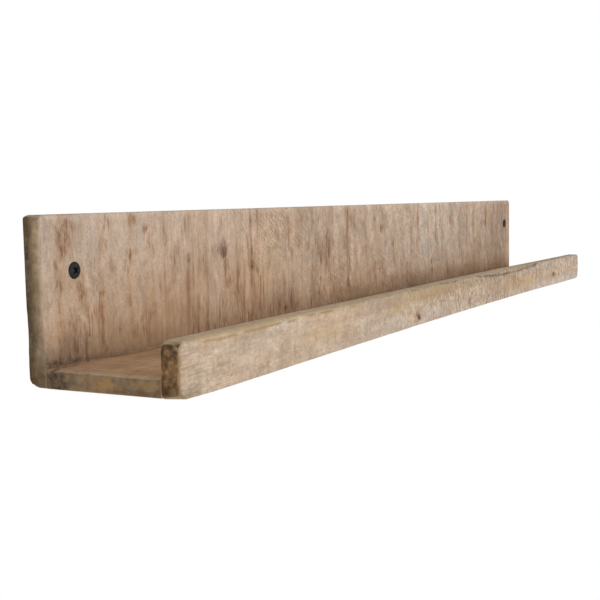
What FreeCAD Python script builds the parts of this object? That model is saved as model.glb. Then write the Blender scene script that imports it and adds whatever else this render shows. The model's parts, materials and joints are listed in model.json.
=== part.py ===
import FreeCAD, Part
import math
import os

# Wall-hung picture ledge of rough-sawn boards: a back board against the wall,
# a shelf board butted against its face, and a front lip that closes the shelf.
# Units: millimetres.
# Frame: origin in the middle of the back board's wall face, +X along the ledge
# (to the right seen from the room), +Y into the wall, +Z up.

# ---------------------------------------------------------------- dimensions
LEDGE_LENGTH = 900.0       # all three boards are cut to this length
LEDGE_HEIGHT = 98.0        # back board, bottom edge to top edge
LEDGE_DEPTH = 102.6        # wall face to the lip's front face
BACK_THICKNESS = 12.6
SHELF_THICKNESS = 11.4
LIP_THICKNESS = 11.5
LIP_HEIGHT = 29.5

ARRIS = 1.2                # worn long edges of the boards
END_ARRIS = 0.8            # worn edges round the shelf's sawn ends
BACK_REAR_TOP_R = 3.5      # heavier wear on the two wall-side edges
BACK_REAR_BOTTOM_R = 6.0
# corners of the back board seen from the front: lower left, lower right,
# upper right, upper left
BACK_CORNER_R = (1.5, 3.0, 6.0, 2.0)
LIP_CORNER_TOP_R = 6.0     # corners of the lip seen from the front
LIP_CORNER_BOTTOM_R = 8.5  # at its front face
LIP_CORNER_REAR_R = 3.5    # the lower corners at its rear face
LIP_ARRIS = 1.5            # worn edges round the lip's front face
# The lip is a bowed, slightly uneven strip: how far its lower and upper edges
# stand above the straight lines of the other boards, by distance from the
# left end.
LIP_LOWER_EDGE = ((9.0, -0.9), (35.0, -1.15), (60.0, -1.15), (135.0, -0.6),
                  (227.0, -0.05), (344.0, 0.4), (450.0, 0.5), (560.0, 0.3),
                  (660.0, -0.15), (740.0, -0.85), (806.0, -1.5), (891.0, -2.1))
LIP_UPPER_EDGE = ((9.0, 1.4), (70.0, 1.6), (144.0, 1.4), (235.0, 1.0),
                  (352.0, 0.85), (449.0, 0.8), (567.0, 0.4), (650.0, -0.1),
                  (757.0, -0.85), (852.0, -1.4), (891.0, -1.6))

# low pan-head wall screws, 5 x 35, one near each end of the back board
WALL_SCREW_LEFT_FROM_END = 27.4
WALL_SCREW_RIGHT_FROM_END = 24.0
WALL_SCREW_LEFT_UP = 65.3  # heights above the ledge's bottom edge
WALL_SCREW_RIGHT_UP = 68.5
WALL_SCREW_LENGTH = 35.0   # under the head to the tip
WALL_SCREW_HEAD_D = 10.0
WALL_SCREW_HEAD_H = 1.45
WALL_SCREW_SHANK_D = 3.7   # plain part under the head
WALL_SCREW_THREAD_D = 5.0  # outside of the thread
WALL_SCREW_PLAIN = 14.0    # length of the plain part
WALL_SCREW_POINT = 5.0     # length of the cone at the tip
WALL_HOLE_D = 5.5          # clearance hole through the back board

# countersunk screws from behind, through the back board into the shelf's edge
REAR_SCREW_X = (-395.0, -200.0, 4.0, 203.0, 396.0)
REAR_SCREW_D = 3.5
REAR_SCREW_HEAD_D = 7.0
REAR_SCREW_HEAD_H = 2.2
REAR_SCREW_LENGTH = 38.0   # over all
REAR_SCREW_POINT = 5.0
REAR_SCREW_SUNK = 2.2      # head's top below the wall face
REAR_SCREW_SINK_D = 7.6    # hole over the sunk head

# brads through the lip into the shelf's front edge: distance from the left
# end, and height above the bottom edge
BRADS = (
    (52.0, 5.4),
    (197.0, 5.9),
    (344.6, 6.5),
    (498.0, 5.6),
    (662.0, 5.3),
    (846.0, 5.8),
)
BRAD_D = 1.3
BRAD_HEAD_D = 2.0
BRAD_HEAD_H = 0.9
BRAD_LENGTH = 30.0
BRAD_POINT = 2.0
BRAD_SUNK = 0.3            # head below the lip's front face

# ------------------------------------------------------------- derived places
HALF = LEDGE_LENGTH / 2.0
Z0 = -LEDGE_HEIGHT / 2.0                   # bottom of all three boards
Z1 = LEDGE_HEIGHT / 2.0
SHELF_TOP = Z0 + SHELF_THICKNESS
LIP_TOP = Z0 + LIP_HEIGHT
Y_BACK = 0.0                               # wall face
Y_BACK_FRONT = -BACK_THICKNESS
Y_FRONT = -LEDGE_DEPTH
Y_LIP_BACK = Y_FRONT + LIP_THICKNESS
SHELF_MID = Z0 + SHELF_THICKNESS / 2.0

V = FreeCAD.Vector


# -------------------------------------------------------------------- helpers
def rounded_outline(corners):
    """Closed wire through (point, radius) corners, each corner an arc."""
    n = len(corners)
    edges = []
    ends = []
    for i in range(n):
        p, r = corners[i]
        a = corners[i - 1][0]
        b = corners[(i + 1) % n][0]
        u = (a - p).normalize()
        w = (b - p).normalize()
        if r <= 0:
            ends.append((p, p, None))
            continue
        half = math.acos(max(-1.0, min(1.0, u.dot(w)))) / 2.0
        t = r / math.tan(half)
        p1 = p + u * t
        p2 = p + w * t
        bis = (u + w).normalize()
        centre = p + bis * (r / math.sin(half))
        mid = centre - bis * r
        ends.append((p1, p2, mid))
    for i in range(n):
        p1, p2, mid = ends[i]
        if mid is not None:
            edges.append(Part.Arc(p1, mid, p2).toShape())
        nxt = ends[(i + 1) % n][0]
        if (nxt - p2).Length > 1e-6:
            edges.append(Part.LineSegment(p2, nxt).toShape())
    return Part.Wire(edges)


def section_prism(y0, y1, z0, z1, radii):
    """Bar along X. radii: (y0 z0), (y1 z0), (y1 z1), (y0 z1)."""
    x = -HALF
    pts = [V(x, y0, z0), V(x, y1, z0), V(x, y1, z1), V(x, y0, z1)]
    face = Part.Face(rounded_outline(list(zip(pts, radii))))
    return face.extrude(V(LEDGE_LENGTH, 0, 0))


def elevation_prism(y0, y1, z0, z1, radii):
    """The board's outline seen from the front, extruded along Y. radii: lower
    left, lower right, upper right, upper left."""
    m = 1.0
    pts = [V(-HALF, y0 - m, z0), V(HALF, y0 - m, z0),
           V(HALF, y0 - m, z1), V(-HALF, y0 - m, z1)]
    face = Part.Face(rounded_outline(list(zip(pts, radii))))
    return face.extrude(V(0, y1 - y0 + 2 * m, 0))


def bowed_outline(y0, z0, z1, lower, upper, r_bottom, r_top):
    """Closed wire in the plane y0 whose lower and upper edges are curves. The
    curves end where the corner arcs begin."""
    low = [V(-HALF + x, y0, z0 + d) for x, d in
           ((r_bottom, lower[0][1]),) + lower[1:-1]
           + ((LEDGE_LENGTH - r_bottom, lower[-1][1]),)]
    high = [V(-HALF + x, y0, z1 + d) for x, d in
            ((r_top, upper[0][1]),) + upper[1:-1]
            + ((LEDGE_LENGTH - r_top, upper[-1][1]),)]

    def corner(p, q, centre, r):
        m = (p + q) * 0.5 - centre
        return Part.Arc(p, centre + m.normalize() * r, q).toShape()

    def curve(points):
        c = Part.BSplineCurve()
        c.interpolate(Points=points,
                      InitialTangent=(points[1] - points[0]).normalize(),
                      FinalTangent=(points[-1] - points[-2]).normalize())
        return c.toShape()

    bl = V(-HALF, y0, low[0].z + r_bottom)
    br = V(HALF, y0, low[-1].z + r_bottom)
    tl = V(-HALF, y0, high[0].z - r_top)
    tr = V(HALF, y0, high[-1].z - r_top)
    edges = [curve(low),
             corner(low[-1], br, V(HALF - r_bottom, y0, br.z), r_bottom),
             Part.LineSegment(br, tr).toShape(),
             corner(tr, high[-1], V(HALF - r_top, y0, tr.z), r_top),
             curve(high),
             corner(high[0], tl, V(-HALF + r_top, y0, tl.z), r_top),
             Part.LineSegment(tl, bl).toShape(),
             corner(bl, low[0], V(-HALF + r_bottom, y0, bl.z), r_bottom)]
    return Part.Wire(edges)


def bowed_strip(y0, y1, z0, z1, lower, upper, r_bottom, r_rear, r_top):
    """Board between two bowed outlines, its lower corners rounder in front."""
    front = bowed_outline(y0, z0, z1, lower, upper, r_bottom, r_top)
    rear = bowed_outline(y1, z0, z1, lower, upper, r_rear, r_top)
    return Part.makeLoft([front, rear], True, True)


def revolve_y(profile):
    """Solid of revolution about the Y axis from (radius, y) points."""
    pts = [V(r, y, 0) for r, y in profile]
    wire = Part.makePolygon(pts + [pts[0]])
    return Part.Face(wire).revolve(V(0, 0, 0), V(0, 1, 0), 360)


def at(shape, x, y, z):
    s = shape.copy()
    s.translate(V(x, y, z))
    return s


def single(shape, name):
    """The one solid of a boolean result."""
    s = shape.removeSplitter()
    if len(s.Solids) != 1:
        raise ValueError("%s has %d solids" % (name, len(s.Solids)))
    return s.Solids[0]


def soften_ends(shape, radius):
    """Small round on the edges that bound the two sawn end faces."""
    edges = []
    for e in shape.Edges:
        b = e.BoundBox
        if abs(b.XMin - b.XMax) < 1e-4 and abs(abs(b.XMin) - HALF) < 1e-4:
            edges.append(e)
    return shape.makeFillet(radius, edges).Solids[0]


# ---------------------------------------------------------------- the screws
def blade(width_top, width_bottom, thick_top, thick_bottom, y_top, depth):
    """One tapered wing pair of a cross recess, along X, opening towards -Y."""
    def rect(w, t, y):
        return Part.makePolygon([V(-w / 2, y, -t / 2), V(w / 2, y, -t / 2),
                                 V(w / 2, y, t / 2), V(-w / 2, y, t / 2),
                                 V(-w / 2, y, -t / 2)])
    return Part.makeLoft([rect(width_top, thick_top, y_top),
                          rect(width_bottom, thick_bottom, y_top + depth)],
                         True, True)


def pan_screw():
    """Axis on Y, underside of the head at y=0, head towards -Y."""
    hr = WALL_SCREW_HEAD_D / 2.0
    h = WALL_SCREW_HEAD_H
    sr = WALL_SCREW_SHANK_D / 2.0
    tr = WALL_SCREW_THREAD_D / 2.0
    plain = WALL_SCREW_PLAIN
    profile = [(0.0, -h), (1.6, -h + 0.03), (2.8, -h + 0.12),
               (3.6, -h + 0.27), (4.2, -h + 0.47), (4.62, -h + 0.7),
               (4.88, -h + 0.97), (hr, -h + 1.25), (hr, -0.1),
               (hr - 0.1, 0.0),
               (sr, 0.0), (sr, plain - 0.8), (tr, plain),
               (tr, WALL_SCREW_LENGTH - WALL_SCREW_POINT),
               (0.35, WALL_SCREW_LENGTH), (0.0, WALL_SCREW_LENGTH)]
    body = revolve_y(profile)
    wing = blade(6.6, 1.9, 1.35, 0.8, -h - 0.2, 2.3)
    a = wing.copy()
    a.rotate(V(0, 0, 0), V(0, 1, 0), 45)
    b = wing.copy()
    b.rotate(V(0, 0, 0), V(0, 1, 0), -45)
    cup = revolve_y([(0.0, -h - 0.2), (1.5, -h - 0.2), (0.8, -h + 1.9),
                     (0.0, -h + 2.2)])
    return single(body.cut(a.fuse(b).fuse(cup)), "wall screw")


def countersunk_screw():
    """Axis on Y, top of the head at y=0, point towards -Y."""
    hr = REAR_SCREW_HEAD_D / 2.0
    r = REAR_SCREW_D / 2.0
    n = REAR_SCREW_LENGTH
    body = revolve_y([(0.0, 0.0), (hr, 0.0), (hr, -0.35),
                      (r, -REAR_SCREW_HEAD_H - 0.35),
                      (r, -n + REAR_SCREW_POINT), (0.25, -n), (0.0, -n)])
    wing = blade(3.6, 1.4, 0.85, 0.55, 0.0, 1.6)
    wing.rotate(V(0, 0, 0), V(1, 0, 0), 180)
    wing.translate(V(0, 0.2, 0))
    other = wing.copy()
    other.rotate(V(0, 0, 0), V(0, 1, 0), 90)
    return single(body.cut(wing.fuse(other)), "rear screw")


def brad():
    """Axis on Y, top of the head at y=0, point towards +Y."""
    return revolve_y([(0.0, 0.0), (BRAD_HEAD_D / 2, 0.0),
                      (BRAD_HEAD_D / 2, BRAD_HEAD_H),
                      (BRAD_D / 2, BRAD_HEAD_H + 0.35),
                      (BRAD_D / 2, BRAD_LENGTH - BRAD_POINT),
                      (0.15, BRAD_LENGTH), (0.0, BRAD_LENGTH)])


# ----------------------------------------------------------------- the boards
back = section_prism(Y_BACK_FRONT, Y_BACK, Z0, Z1,
                     (0.0, BACK_REAR_BOTTOM_R, BACK_REAR_TOP_R, ARRIS))
back = back.common(elevation_prism(Y_BACK_FRONT, Y_BACK, Z0, Z1,
                                   BACK_CORNER_R))
back = single(back, "back board")

shelf = section_prism(Y_LIP_BACK, Y_BACK_FRONT, Z0, SHELF_TOP,
                      (0.0, 0.0, 0.0, 0.0))
shelf = soften_ends(single(shelf, "shelf board"), END_ARRIS)

lip = single(bowed_strip(Y_FRONT, Y_LIP_BACK, Z0, LIP_TOP, LIP_LOWER_EDGE,
                         LIP_UPPER_EDGE, LIP_CORNER_BOTTOM_R,
                         LIP_CORNER_REAR_R, LIP_CORNER_TOP_R), "front lip")
front_edges = [e for e in lip.Edges
               if abs(e.BoundBox.YMin - Y_FRONT) < 1e-4
               and abs(e.BoundBox.YMax - Y_FRONT) < 1e-4]
lip = lip.makeFillet(LIP_ARRIS, front_edges).Solids[0]

# -------------------------------------------------------- fasteners in place
parts = {}

wall_screw = pan_screw()
for name, x, up in (
        ("wall_screw_left", -HALF + WALL_SCREW_LEFT_FROM_END,
         WALL_SCREW_LEFT_UP),
        ("wall_screw_right", HALF - WALL_SCREW_RIGHT_FROM_END,
         WALL_SCREW_RIGHT_UP)):
    z = Z0 + up
    parts[name] = at(wall_screw, x, Y_BACK_FRONT, z)
    hole = Part.makeCylinder(WALL_HOLE_D / 2.0, BACK_THICKNESS + 2.0,
                             V(x, Y_BACK_FRONT - 1.0, z), V(0, 1, 0))
    back = back.cut(hole)

rear_screw = countersunk_screw()
solid_rear = revolve_y([(0.0, 0.0), (REAR_SCREW_HEAD_D / 2, 0.0),
                        (REAR_SCREW_HEAD_D / 2, -0.35),
                        (REAR_SCREW_D / 2, -REAR_SCREW_HEAD_H - 0.35),
                        (REAR_SCREW_D / 2,
                         -REAR_SCREW_LENGTH + REAR_SCREW_POINT),
                        (0.25, -REAR_SCREW_LENGTH),
                        (0.0, -REAR_SCREW_LENGTH)])
for i, x in enumerate(REAR_SCREW_X, 1):
    name = "rear_screw_%d" % i
    parts[name] = at(rear_screw, x, -REAR_SCREW_SUNK, SHELF_MID)
    tool = at(solid_rear, x, -REAR_SCREW_SUNK, SHELF_MID)
    sink = Part.makeCylinder(REAR_SCREW_SINK_D / 2.0, REAR_SCREW_SUNK + 1.0,
                             V(x, -REAR_SCREW_SUNK, SHELF_MID), V(0, 1, 0))
    back = back.cut(tool).cut(sink)
    shelf = shelf.cut(tool)

nail = brad()
for i, (from_end, up) in enumerate(BRADS, 1):
    x = -HALF + from_end
    z = Z0 + up
    name = "lip_brad_%d" % i
    parts[name] = at(nail, x, Y_FRONT + BRAD_SUNK, z)
    sink = Part.makeCylinder(BRAD_HEAD_D / 2.0, BRAD_SUNK + 1.0,
                             V(x, Y_FRONT - 1.0, z), V(0, 1, 0))
    lip = lip.cut(parts[name]).cut(sink)
    shelf = shelf.cut(parts[name])

parts["back_board"] = single(back, "back board")
parts["shelf_board"] = single(shelf, "shelf board")
parts["front_lip"] = single(lip, "front lip")

# --------------------------------------------------------------------- output
os.makedirs("parts", exist_ok=True)
for name in sorted(parts):
    shape = parts[name]
    if shape.ShapeType != "Solid" and len(shape.Solids) == 1:
        shape = shape.Solids[0]
    if not shape.isValid():
        print("not valid:", name)
    shape.exportStep(os.path.join("parts", name + ".step"))
    b = shape.BoundBox
    print("%-18s %8.1f x %6.1f x %6.1f  volume %10.1f" % (
        name, b.XLength, b.YLength, b.ZLength, shape.Volume))

names = sorted(parts)
for i in range(len(names)):
    for j in range(i + 1, len(names)):
        a, b = parts[names[i]], parts[names[j]]
        if a.BoundBox.intersect(b.BoundBox):
            v = a.common(b).Volume
            if v > 1e-4:
                print("overlap %s / %s: %.5f mm3" % (names[i], names[j], v))
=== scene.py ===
import json
import math

import bpy
import numpy as np
from mathutils import Matrix, Vector

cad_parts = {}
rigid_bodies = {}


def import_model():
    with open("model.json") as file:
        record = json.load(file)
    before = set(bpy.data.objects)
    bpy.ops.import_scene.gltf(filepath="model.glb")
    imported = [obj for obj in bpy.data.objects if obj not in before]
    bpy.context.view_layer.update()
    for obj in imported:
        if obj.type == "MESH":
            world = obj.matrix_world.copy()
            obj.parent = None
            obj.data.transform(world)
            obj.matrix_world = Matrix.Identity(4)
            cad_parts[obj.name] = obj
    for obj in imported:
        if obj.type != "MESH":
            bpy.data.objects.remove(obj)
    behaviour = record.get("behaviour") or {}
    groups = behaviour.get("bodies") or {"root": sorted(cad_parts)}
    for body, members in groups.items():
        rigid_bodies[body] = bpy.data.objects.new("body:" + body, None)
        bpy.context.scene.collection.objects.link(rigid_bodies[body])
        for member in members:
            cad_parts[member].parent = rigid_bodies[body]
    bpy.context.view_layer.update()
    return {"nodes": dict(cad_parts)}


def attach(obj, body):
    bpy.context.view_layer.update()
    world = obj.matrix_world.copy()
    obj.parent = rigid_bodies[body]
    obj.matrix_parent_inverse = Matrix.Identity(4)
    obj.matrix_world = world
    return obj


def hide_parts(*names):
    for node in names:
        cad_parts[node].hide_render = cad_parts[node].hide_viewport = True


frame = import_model()

# Wall-hung picture ledge of rough-sawn boards. Everything below is in
# millimetres in the row frame (origin in the middle of the back board's wall
# face, +X along the ledge, +Y into the wall, +Z up) until a mesh is made.
HALF = 450.0
Z0, Z1 = -49.0, 49.0
BACK_T, SHELF_T, LIP_T, LIP_H, DEPTH = 12.6, 11.4, 11.5, 29.5, 102.6
LIP_LOWER_EDGE = ((0, -0.7), (12, -0.85), (35, -1.2), (60, -1.15), (135, -0.6), (227, -0.05), (344, 0.4), (450, 0.5),
                  (560, 0.3), (660, -0.15), (740, -0.85), (806, -1.5), (891, -2.08), (900, -2.08))
LIP_UPPER_EDGE = ((0.0, 1.3), (70.0, 1.6), (144.0, 1.4), (235.0, 1.0),
                  (352.0, 0.85), (449.0, 0.8), (567.0, 0.4), (650.0, -0.1),
                  (757.0, -0.85), (852.0, -1.4), (900.0, -1.65))
WALL_SCREWS = (("wall_screw_left", -422.6, 16.3), ("wall_screw_right", 426.0, 19.5))
REAR_SCREW_X = (-395.0, -200.0, 4.0, 203.0, 396.0)
REAR_SCREW_Z = -43.3
BRADS = ((-398.0, -43.6), (-253.0, -43.1), (-105.4, -42.5), (48.0, -43.4),
         (212.0, -43.7), (396.0, -43.2))


# ------------------------------------------------------------------ plain noise
def smooth(a, b, t):
    t = np.clip((np.asarray(t, float) - a) / (b - a), 0.0, 1.0)
    return t * t * (3.0 - 2.0 * t)


def lattice_value(seed, *cells):
    h = np.full(np.shape(cells[0]), (seed * 2654435761 + 97) & 0xFFFFFFFF, np.uint64)
    for c in cells:
        h = (h ^ (c.astype(np.int64) & 0xFFFFFFFF).astype(np.uint64)) & np.uint64(0xFFFFFFFF)
        h = (h * np.uint64(2246822519)) & np.uint64(0xFFFFFFFF)
        h ^= h >> np.uint64(15)
        h = (h * np.uint64(3266489917)) & np.uint64(0xFFFFFFFF)
        h ^= h >> np.uint64(13)
    return h.astype(float) / 4294967295.0 * 2.0 - 1.0


def noise(seed, *coords):
    """Smooth value noise in [-1, 1] of one, two or three coordinates."""
    coords = np.broadcast_arrays(*[np.asarray(c, float) for c in coords])
    low = [np.floor(c) for c in coords]
    part = [c - f for c, f in zip(coords, low)]
    part = [p * p * p * (p * (p * 6.0 - 15.0) + 10.0) for p in part]
    total = 0.0
    for corner in range(2 ** len(coords)):
        weight, cells = 1.0, []
        for k, (f, p) in enumerate(zip(low, part)):
            bit = corner >> k & 1
            weight = weight * (p if bit else 1.0 - p)
            cells.append(f + bit)
        total = total + weight * lattice_value(seed, *cells)
    return total


def fbm(seed, *coords, octaves=3, gain=0.5):
    total, size, norm = 0.0, 1.0, 0.0
    for k in range(octaves):
        total = total + size * noise(seed + 101 * k, *[np.asarray(c, float) * 2.0 ** k + 7.3 * k for c in coords])
        norm += size
        size *= gain
    return total / norm


# ------------------------------------------------------- marks seen on the wood
def streaks(x, z, rows, seed, wobble=1.0):
    """Marks that run up and down: (x, top, bottom, half width, strength, lean)."""
    out = np.zeros(np.shape(x))
    for i, row in enumerate(rows):
        sx, top, bottom, w, s = row[:5]
        lean = row[5] if len(row) > 5 else 0.0
        mid = (top + bottom) / 2.0
        near = np.abs(x - sx) < 6.0 * w + 6.0 + abs(lean) * abs(top - bottom)
        xx, zz = x[near], z[near]
        wob = wobble * (0.6 * w + 0.4) * noise(seed + i, zz / 9.0) + wobble * 1.0 * noise(seed + 50 + i, zz / 31.0)
        wob = wob + wobble * (0.25 * w + 0.3) * noise(seed + 90 + i, zz / 4.0)
        width = w * (0.85 + 0.6 * noise(seed + 200 + i, zz / 6.0))
        u = (xx - sx - lean * (zz - mid) - wob) / np.maximum(width, 0.25)
        fade = min(7.0, 0.35 * (top - bottom))
        t = smooth(bottom - 1.0, bottom + fade, zz) * smooth(top + 1.0, top - fade, zz)
        grain = 0.8 + 0.5 * noise(seed + 400 + i, xx / 1.7, zz / 5.0)
        v = s * np.exp(-u * u) * t * grain
        out[near] = 1.0 - (1.0 - out[near]) * (1.0 - np.clip(v, 0.0, 1.0))
    return out


def blobs(x, z, rows, seed, ragged=0.45):
    """Patches: (x, z, half width, half height, strength, tilt in degrees)."""
    out = np.zeros(np.shape(x))
    for i, row in enumerate(rows):
        bx, bz, rx, rz, s = row[:5]
        tilt = math.radians(row[5]) if len(row) > 5 else 0.0
        reach = 2.2 * max(rx, rz)
        near = (np.abs(x - bx) < reach) & (np.abs(z - bz) < reach)
        dx, dz = x[near] - bx, z[near] - bz
        u = (dx * math.cos(tilt) + dz * math.sin(tilt)) / rx
        v = (-dx * math.sin(tilt) + dz * math.cos(tilt)) / rz
        d = np.sqrt(u * u + v * v)
        size = 0.35 * (rx + rz) / 2.0 + 0.8
        d = d + ragged * noise(seed + i, x[near] / size, z[near] / size)
        d = d + 0.5 * ragged * noise(seed + 60 + i, x[near] / (0.4 * size), z[near] / (0.4 * size))
        value = s * smooth(1.25, 0.35, d)
        out[near] = 1.0 - (1.0 - out[near]) * (1.0 - np.clip(value, 0.0, 1.0))
    return out


# --------------------------------------------------------------- board building
def lines(low, high, step, anchors=(), near_low=(), near_high=(), step_at=None):
    """Grid lines from low to high through the anchors (a, b, count) or (a,)."""
    fixed = [low, high] + [low + d for d in near_low] + [high - d for d in near_high]
    counts = {}
    for a in anchors:
        fixed.append(a[0])
        if len(a) > 1:
            fixed.append(a[1])
            counts[(round(a[0], 4), round(a[1], 4))] = a[2]
    fixed = sorted(set(round(v, 4) for v in fixed if low - 1e-6 <= v <= high + 1e-6))
    out = [fixed[0]]
    for a, b in zip(fixed, fixed[1:]):
        here = step_at((a + b) / 2.0) if step_at else step
        inside = [n for (p, q), n in counts.items() if p - 1e-6 <= a and b <= q + 1e-6]
        if (a, b) in counts:
            n = counts[(a, b)]
        elif inside:
            n = max(1, int(round((b - a) / min(1.0, here))))
        else:
            n = max(1, int(math.ceil((b - a) / here - 1e-6)))
        out += [a + (b - a) * k / n for k in range(1, n + 1)]
    return np.array(out)


def outline_place(dx, dz, a, m, radius, end_near):
    """Inset a from an outline whose corner has this radius, for a point at dx and
    dz from the corner's two sides; m is its own inset."""
    most = np.maximum(dx, dz)
    corner = most < radius
    t = np.clip((most - m) / np.maximum(radius - m, 1e-9), 0.0, 1.0)
    psi = np.radians(np.where(dx < dz, 45.0 - 45.0 * t, 45.0 + 45.0 * t))
    px = np.where(corner, radius - (radius - a) * np.cos(psi), np.where(end_near, a, dx))
    pz = np.where(corner, radius - (radius - a) * np.sin(psi), np.where(end_near, dz, a))
    blend = np.where(corner, psi / (math.pi / 2.0), np.where(end_near, 0.0, 1.0))
    return px, pz, blend


class Board:
    """A rectangular board as one closed surface with rounded corners and edges.

    radii: functions of x giving the edge radius for front_top, front_bottom,
    rear_top, rear_bottom, and numbers front_end, rear_end. corners: function of
    left, low and y giving the radius of the outline's corner."""

    TAGS = ("front", "rear", "top", "bottom", "right", "left")

    def __init__(self, name, box, xs, ys, zs, corners, radii):
        self.name, self.box, self.xs, self.ys, self.zs = name, box, xs, ys, zs
        self.corners, self.radii = corners, radii
        nx, ny, nz = len(xs) - 1, len(ys) - 1, len(zs) - 1
        ids = -np.ones((nx + 1, ny + 1, nz + 1), int)
        skin = np.zeros(ids.shape, bool)
        for axis in range(3):
            cut = [slice(None)] * 3
            for end in (0, -1):
                cut[axis] = end
                skin[tuple(cut)] = True
        ids[skin] = np.arange(skin.sum())
        self.ids = ids
        where = np.argwhere(skin)
        self.cub = np.stack([xs[where[:, 0]], ys[where[:, 1]], zs[where[:, 2]]], 1)
        quads, tags = [], []

        def add(a, b, c, d, tag):
            q = np.stack([a, b, c, d], -1).reshape(-1, 4)
            quads.append(q)
            tags.append(np.full(len(q), tag))

        f = ids[:, 0, :]
        add(f[:-1, :-1], f[1:, :-1], f[1:, 1:], f[:-1, 1:], 0)
        f = ids[:, ny, :]
        add(f[:-1, :-1], f[:-1, 1:], f[1:, 1:], f[1:, :-1], 1)
        f = ids[:, :, nz]
        add(f[:-1, :-1], f[1:, :-1], f[1:, 1:], f[:-1, 1:], 2)
        f = ids[:, :, 0]
        add(f[:-1, :-1], f[:-1, 1:], f[1:, 1:], f[1:, :-1], 3)
        f = ids[nx, :, :]
        add(f[:-1, :-1], f[1:, :-1], f[1:, 1:], f[:-1, 1:], 4)
        f = ids[0, :, :]
        add(f[:-1, :-1], f[:-1, 1:], f[1:, 1:], f[1:, :-1], 5)
        self.quads, self.tags = np.concatenate(quads), np.concatenate(tags)
        self.tris, self.tri_tags = [], []
        self.pos = self.rounded(self.cub)
        self.wall = np.zeros(len(self.pos), bool)      # inside a hole
        self.fixed = {}                                # node: normal it keeps
        self.wall_quads = []                           # (quads, uv) of hole walls

    def rounded(self, p):
        x0, x1, y0, y1, z0, z1 = self.box
        X, Y, Z = p[:, 0], p[:, 1], p[:, 2]
        left, low = (X - x0) < (x1 - X), (Z - z0) < (z1 - Z)
        dx, dz = np.minimum(X - x0, x1 - X), np.minimum(Z - z0, z1 - Z)
        front = (Y - y0) < (y1 - Y)
        dy = np.minimum(Y - y0, y1 - Y)
        m = np.minimum(dx, dz)
        side = m < 1e-7
        corner = self.corners(left, low, Y)
        end_near = dx < dz
        _, _, blend = outline_place(dx, dz, m, m, corner, end_near)
        rd = self.radii
        along = np.where(front, np.where(low, rd["front_bottom"](X), rd["front_top"](X)),
                         np.where(low, rd["rear_bottom"](X), rd["rear_top"](X)))
        at_end = np.where(front, rd["front_end"], rd["rear_end"])
        r = at_end + (along - at_end) * smooth(0.0, 1.0, blend)
        e = np.where(side, dy, m)
        arc = e < r
        th = np.radians(np.where(arc, np.where(side, 45.0 + 45.0 * e / r, 45.0 - 45.0 * e / r),
                                 np.where(side, 90.0, 0.0)))
        a = np.where(arc, r * (1.0 - np.sin(th)), np.where(side, 0.0, m))
        yo = np.where(arc, r * (1.0 - np.cos(th)), np.where(side, dy, 0.0))
        px, pz, _ = outline_place(dx, dz, a, m, corner, end_near)
        out = np.empty_like(p)
        out[:, 0] = np.where(left, x0 + px, x1 - px)
        out[:, 1] = np.where(front, y0 + yo, y1 - yo)
        out[:, 2] = np.where(low, z0 + pz, z1 - pz)
        return out

    def add_nodes(self, pos, cub, wall, normal=None):
        start = len(self.pos)
        self.pos = np.vstack([self.pos, pos])
        self.cub = np.vstack([self.cub, cub])
        self.wall = np.concatenate([self.wall, np.full(len(pos), wall)])
        if normal is not None:
            for k in range(len(pos)):
                self.fixed[start + k] = normal
        return np.arange(start, start + len(pos))

    def loop(self, ix0, ix1, iz0, iz1, iy):
        """Node ids round a block of the front or rear grid."""
        f = self.ids[:, iy, :]
        ring = [f[i, iz0] for i in range(ix0, ix1)] + [f[ix1, k] for k in range(iz0, iz1)]
        ring += [f[i, iz1] for i in range(ix1, ix0, -1)] + [f[ix0, k] for k in range(iz1, iz0, -1)]
        return np.array(ring)

    def hole(self, x, z, block, profile, front, rear):
        """A round hole along Y. block: (x0, x1, z0, z1) grid lines round it.
        profile: (radius, y) from the front (or the hole's inner end) to the rear
        (or its inner end)."""
        ix0, ix1 = [int(np.abs(self.xs - v).argmin()) for v in block[:2]]
        iz0, iz1 = [int(np.abs(self.zs - v).argmin()) for v in block[2:]]
        kx, kz = ix1 - ix0, iz1 - iz0
        ang = []
        for s, k in enumerate((kx, kz, kx, kz)):
            ang += [-135.0 + 90.0 * s + 90.0 * j / k for j in range(k)]
        ang = np.radians(ang)
        n = len(ang)
        ca, sa = np.cos(ang), np.sin(ang)

        def ring(radius, y, wall, normal=None):
            pos = np.stack([x + radius * ca, np.full(n, y), z + radius * sa], 1)
            return self.add_nodes(pos, pos.copy(), wall, normal)

        def gone(tag):
            centre = self.cub[self.quads].mean(1)
            ok = (self.tags == tag) & (centre[:, 0] > block[0]) & (centre[:, 0] < block[1]) \
                & (centre[:, 2] > self.zs[iz0]) & (centre[:, 2] < self.zs[iz1])
            self.quads, self.tags = self.quads[~ok], self.tags[~ok]

        def quads_between(a, b, tag, turn):
            j = np.roll(np.arange(n), -1)
            q = np.stack([a, a[j], b[j], b], 1)
            if turn:
                q = q[:, ::-1]
            if tag is None:
                self.wall_quads.append(q)
            else:
                self.quads = np.vstack([self.quads, q])
                self.tags = np.concatenate([self.tags, np.full(len(q), tag)])

        def mouth(iy, tag, radius, normal, turn):
            """Rings from the block's edge to the hole's edge on one face."""
            gone(tag)
            outer = self.loop(ix0, ix1, iz0, iz1, iy)
            pos_o, cub_o = self.pos[outer], self.cub[outer]
            rim_x, rim_z = x + radius * ca, z + radius * sa
            y = np.interp(rim_z, *self.face_y(iy, x))
            rim = np.stack([rim_x, y, rim_z], 1)
            last, t_last = outer, 0.0
            for t in (0.45, 0.8):
                mid = pos_o + (rim - pos_o) * t
                if iy:
                    mid[:, 1] = np.interp(mid[:, 2], *self.face_y(iy, x))
                ids = self.add_nodes(mid, mid.copy(), False, normal)
                quads_between(last, ids, tag, turn)
                last = ids
            ids = self.add_nodes(rim, rim.copy(), False, normal)
            quads_between(last, ids, tag, turn)
            return ids

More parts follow.
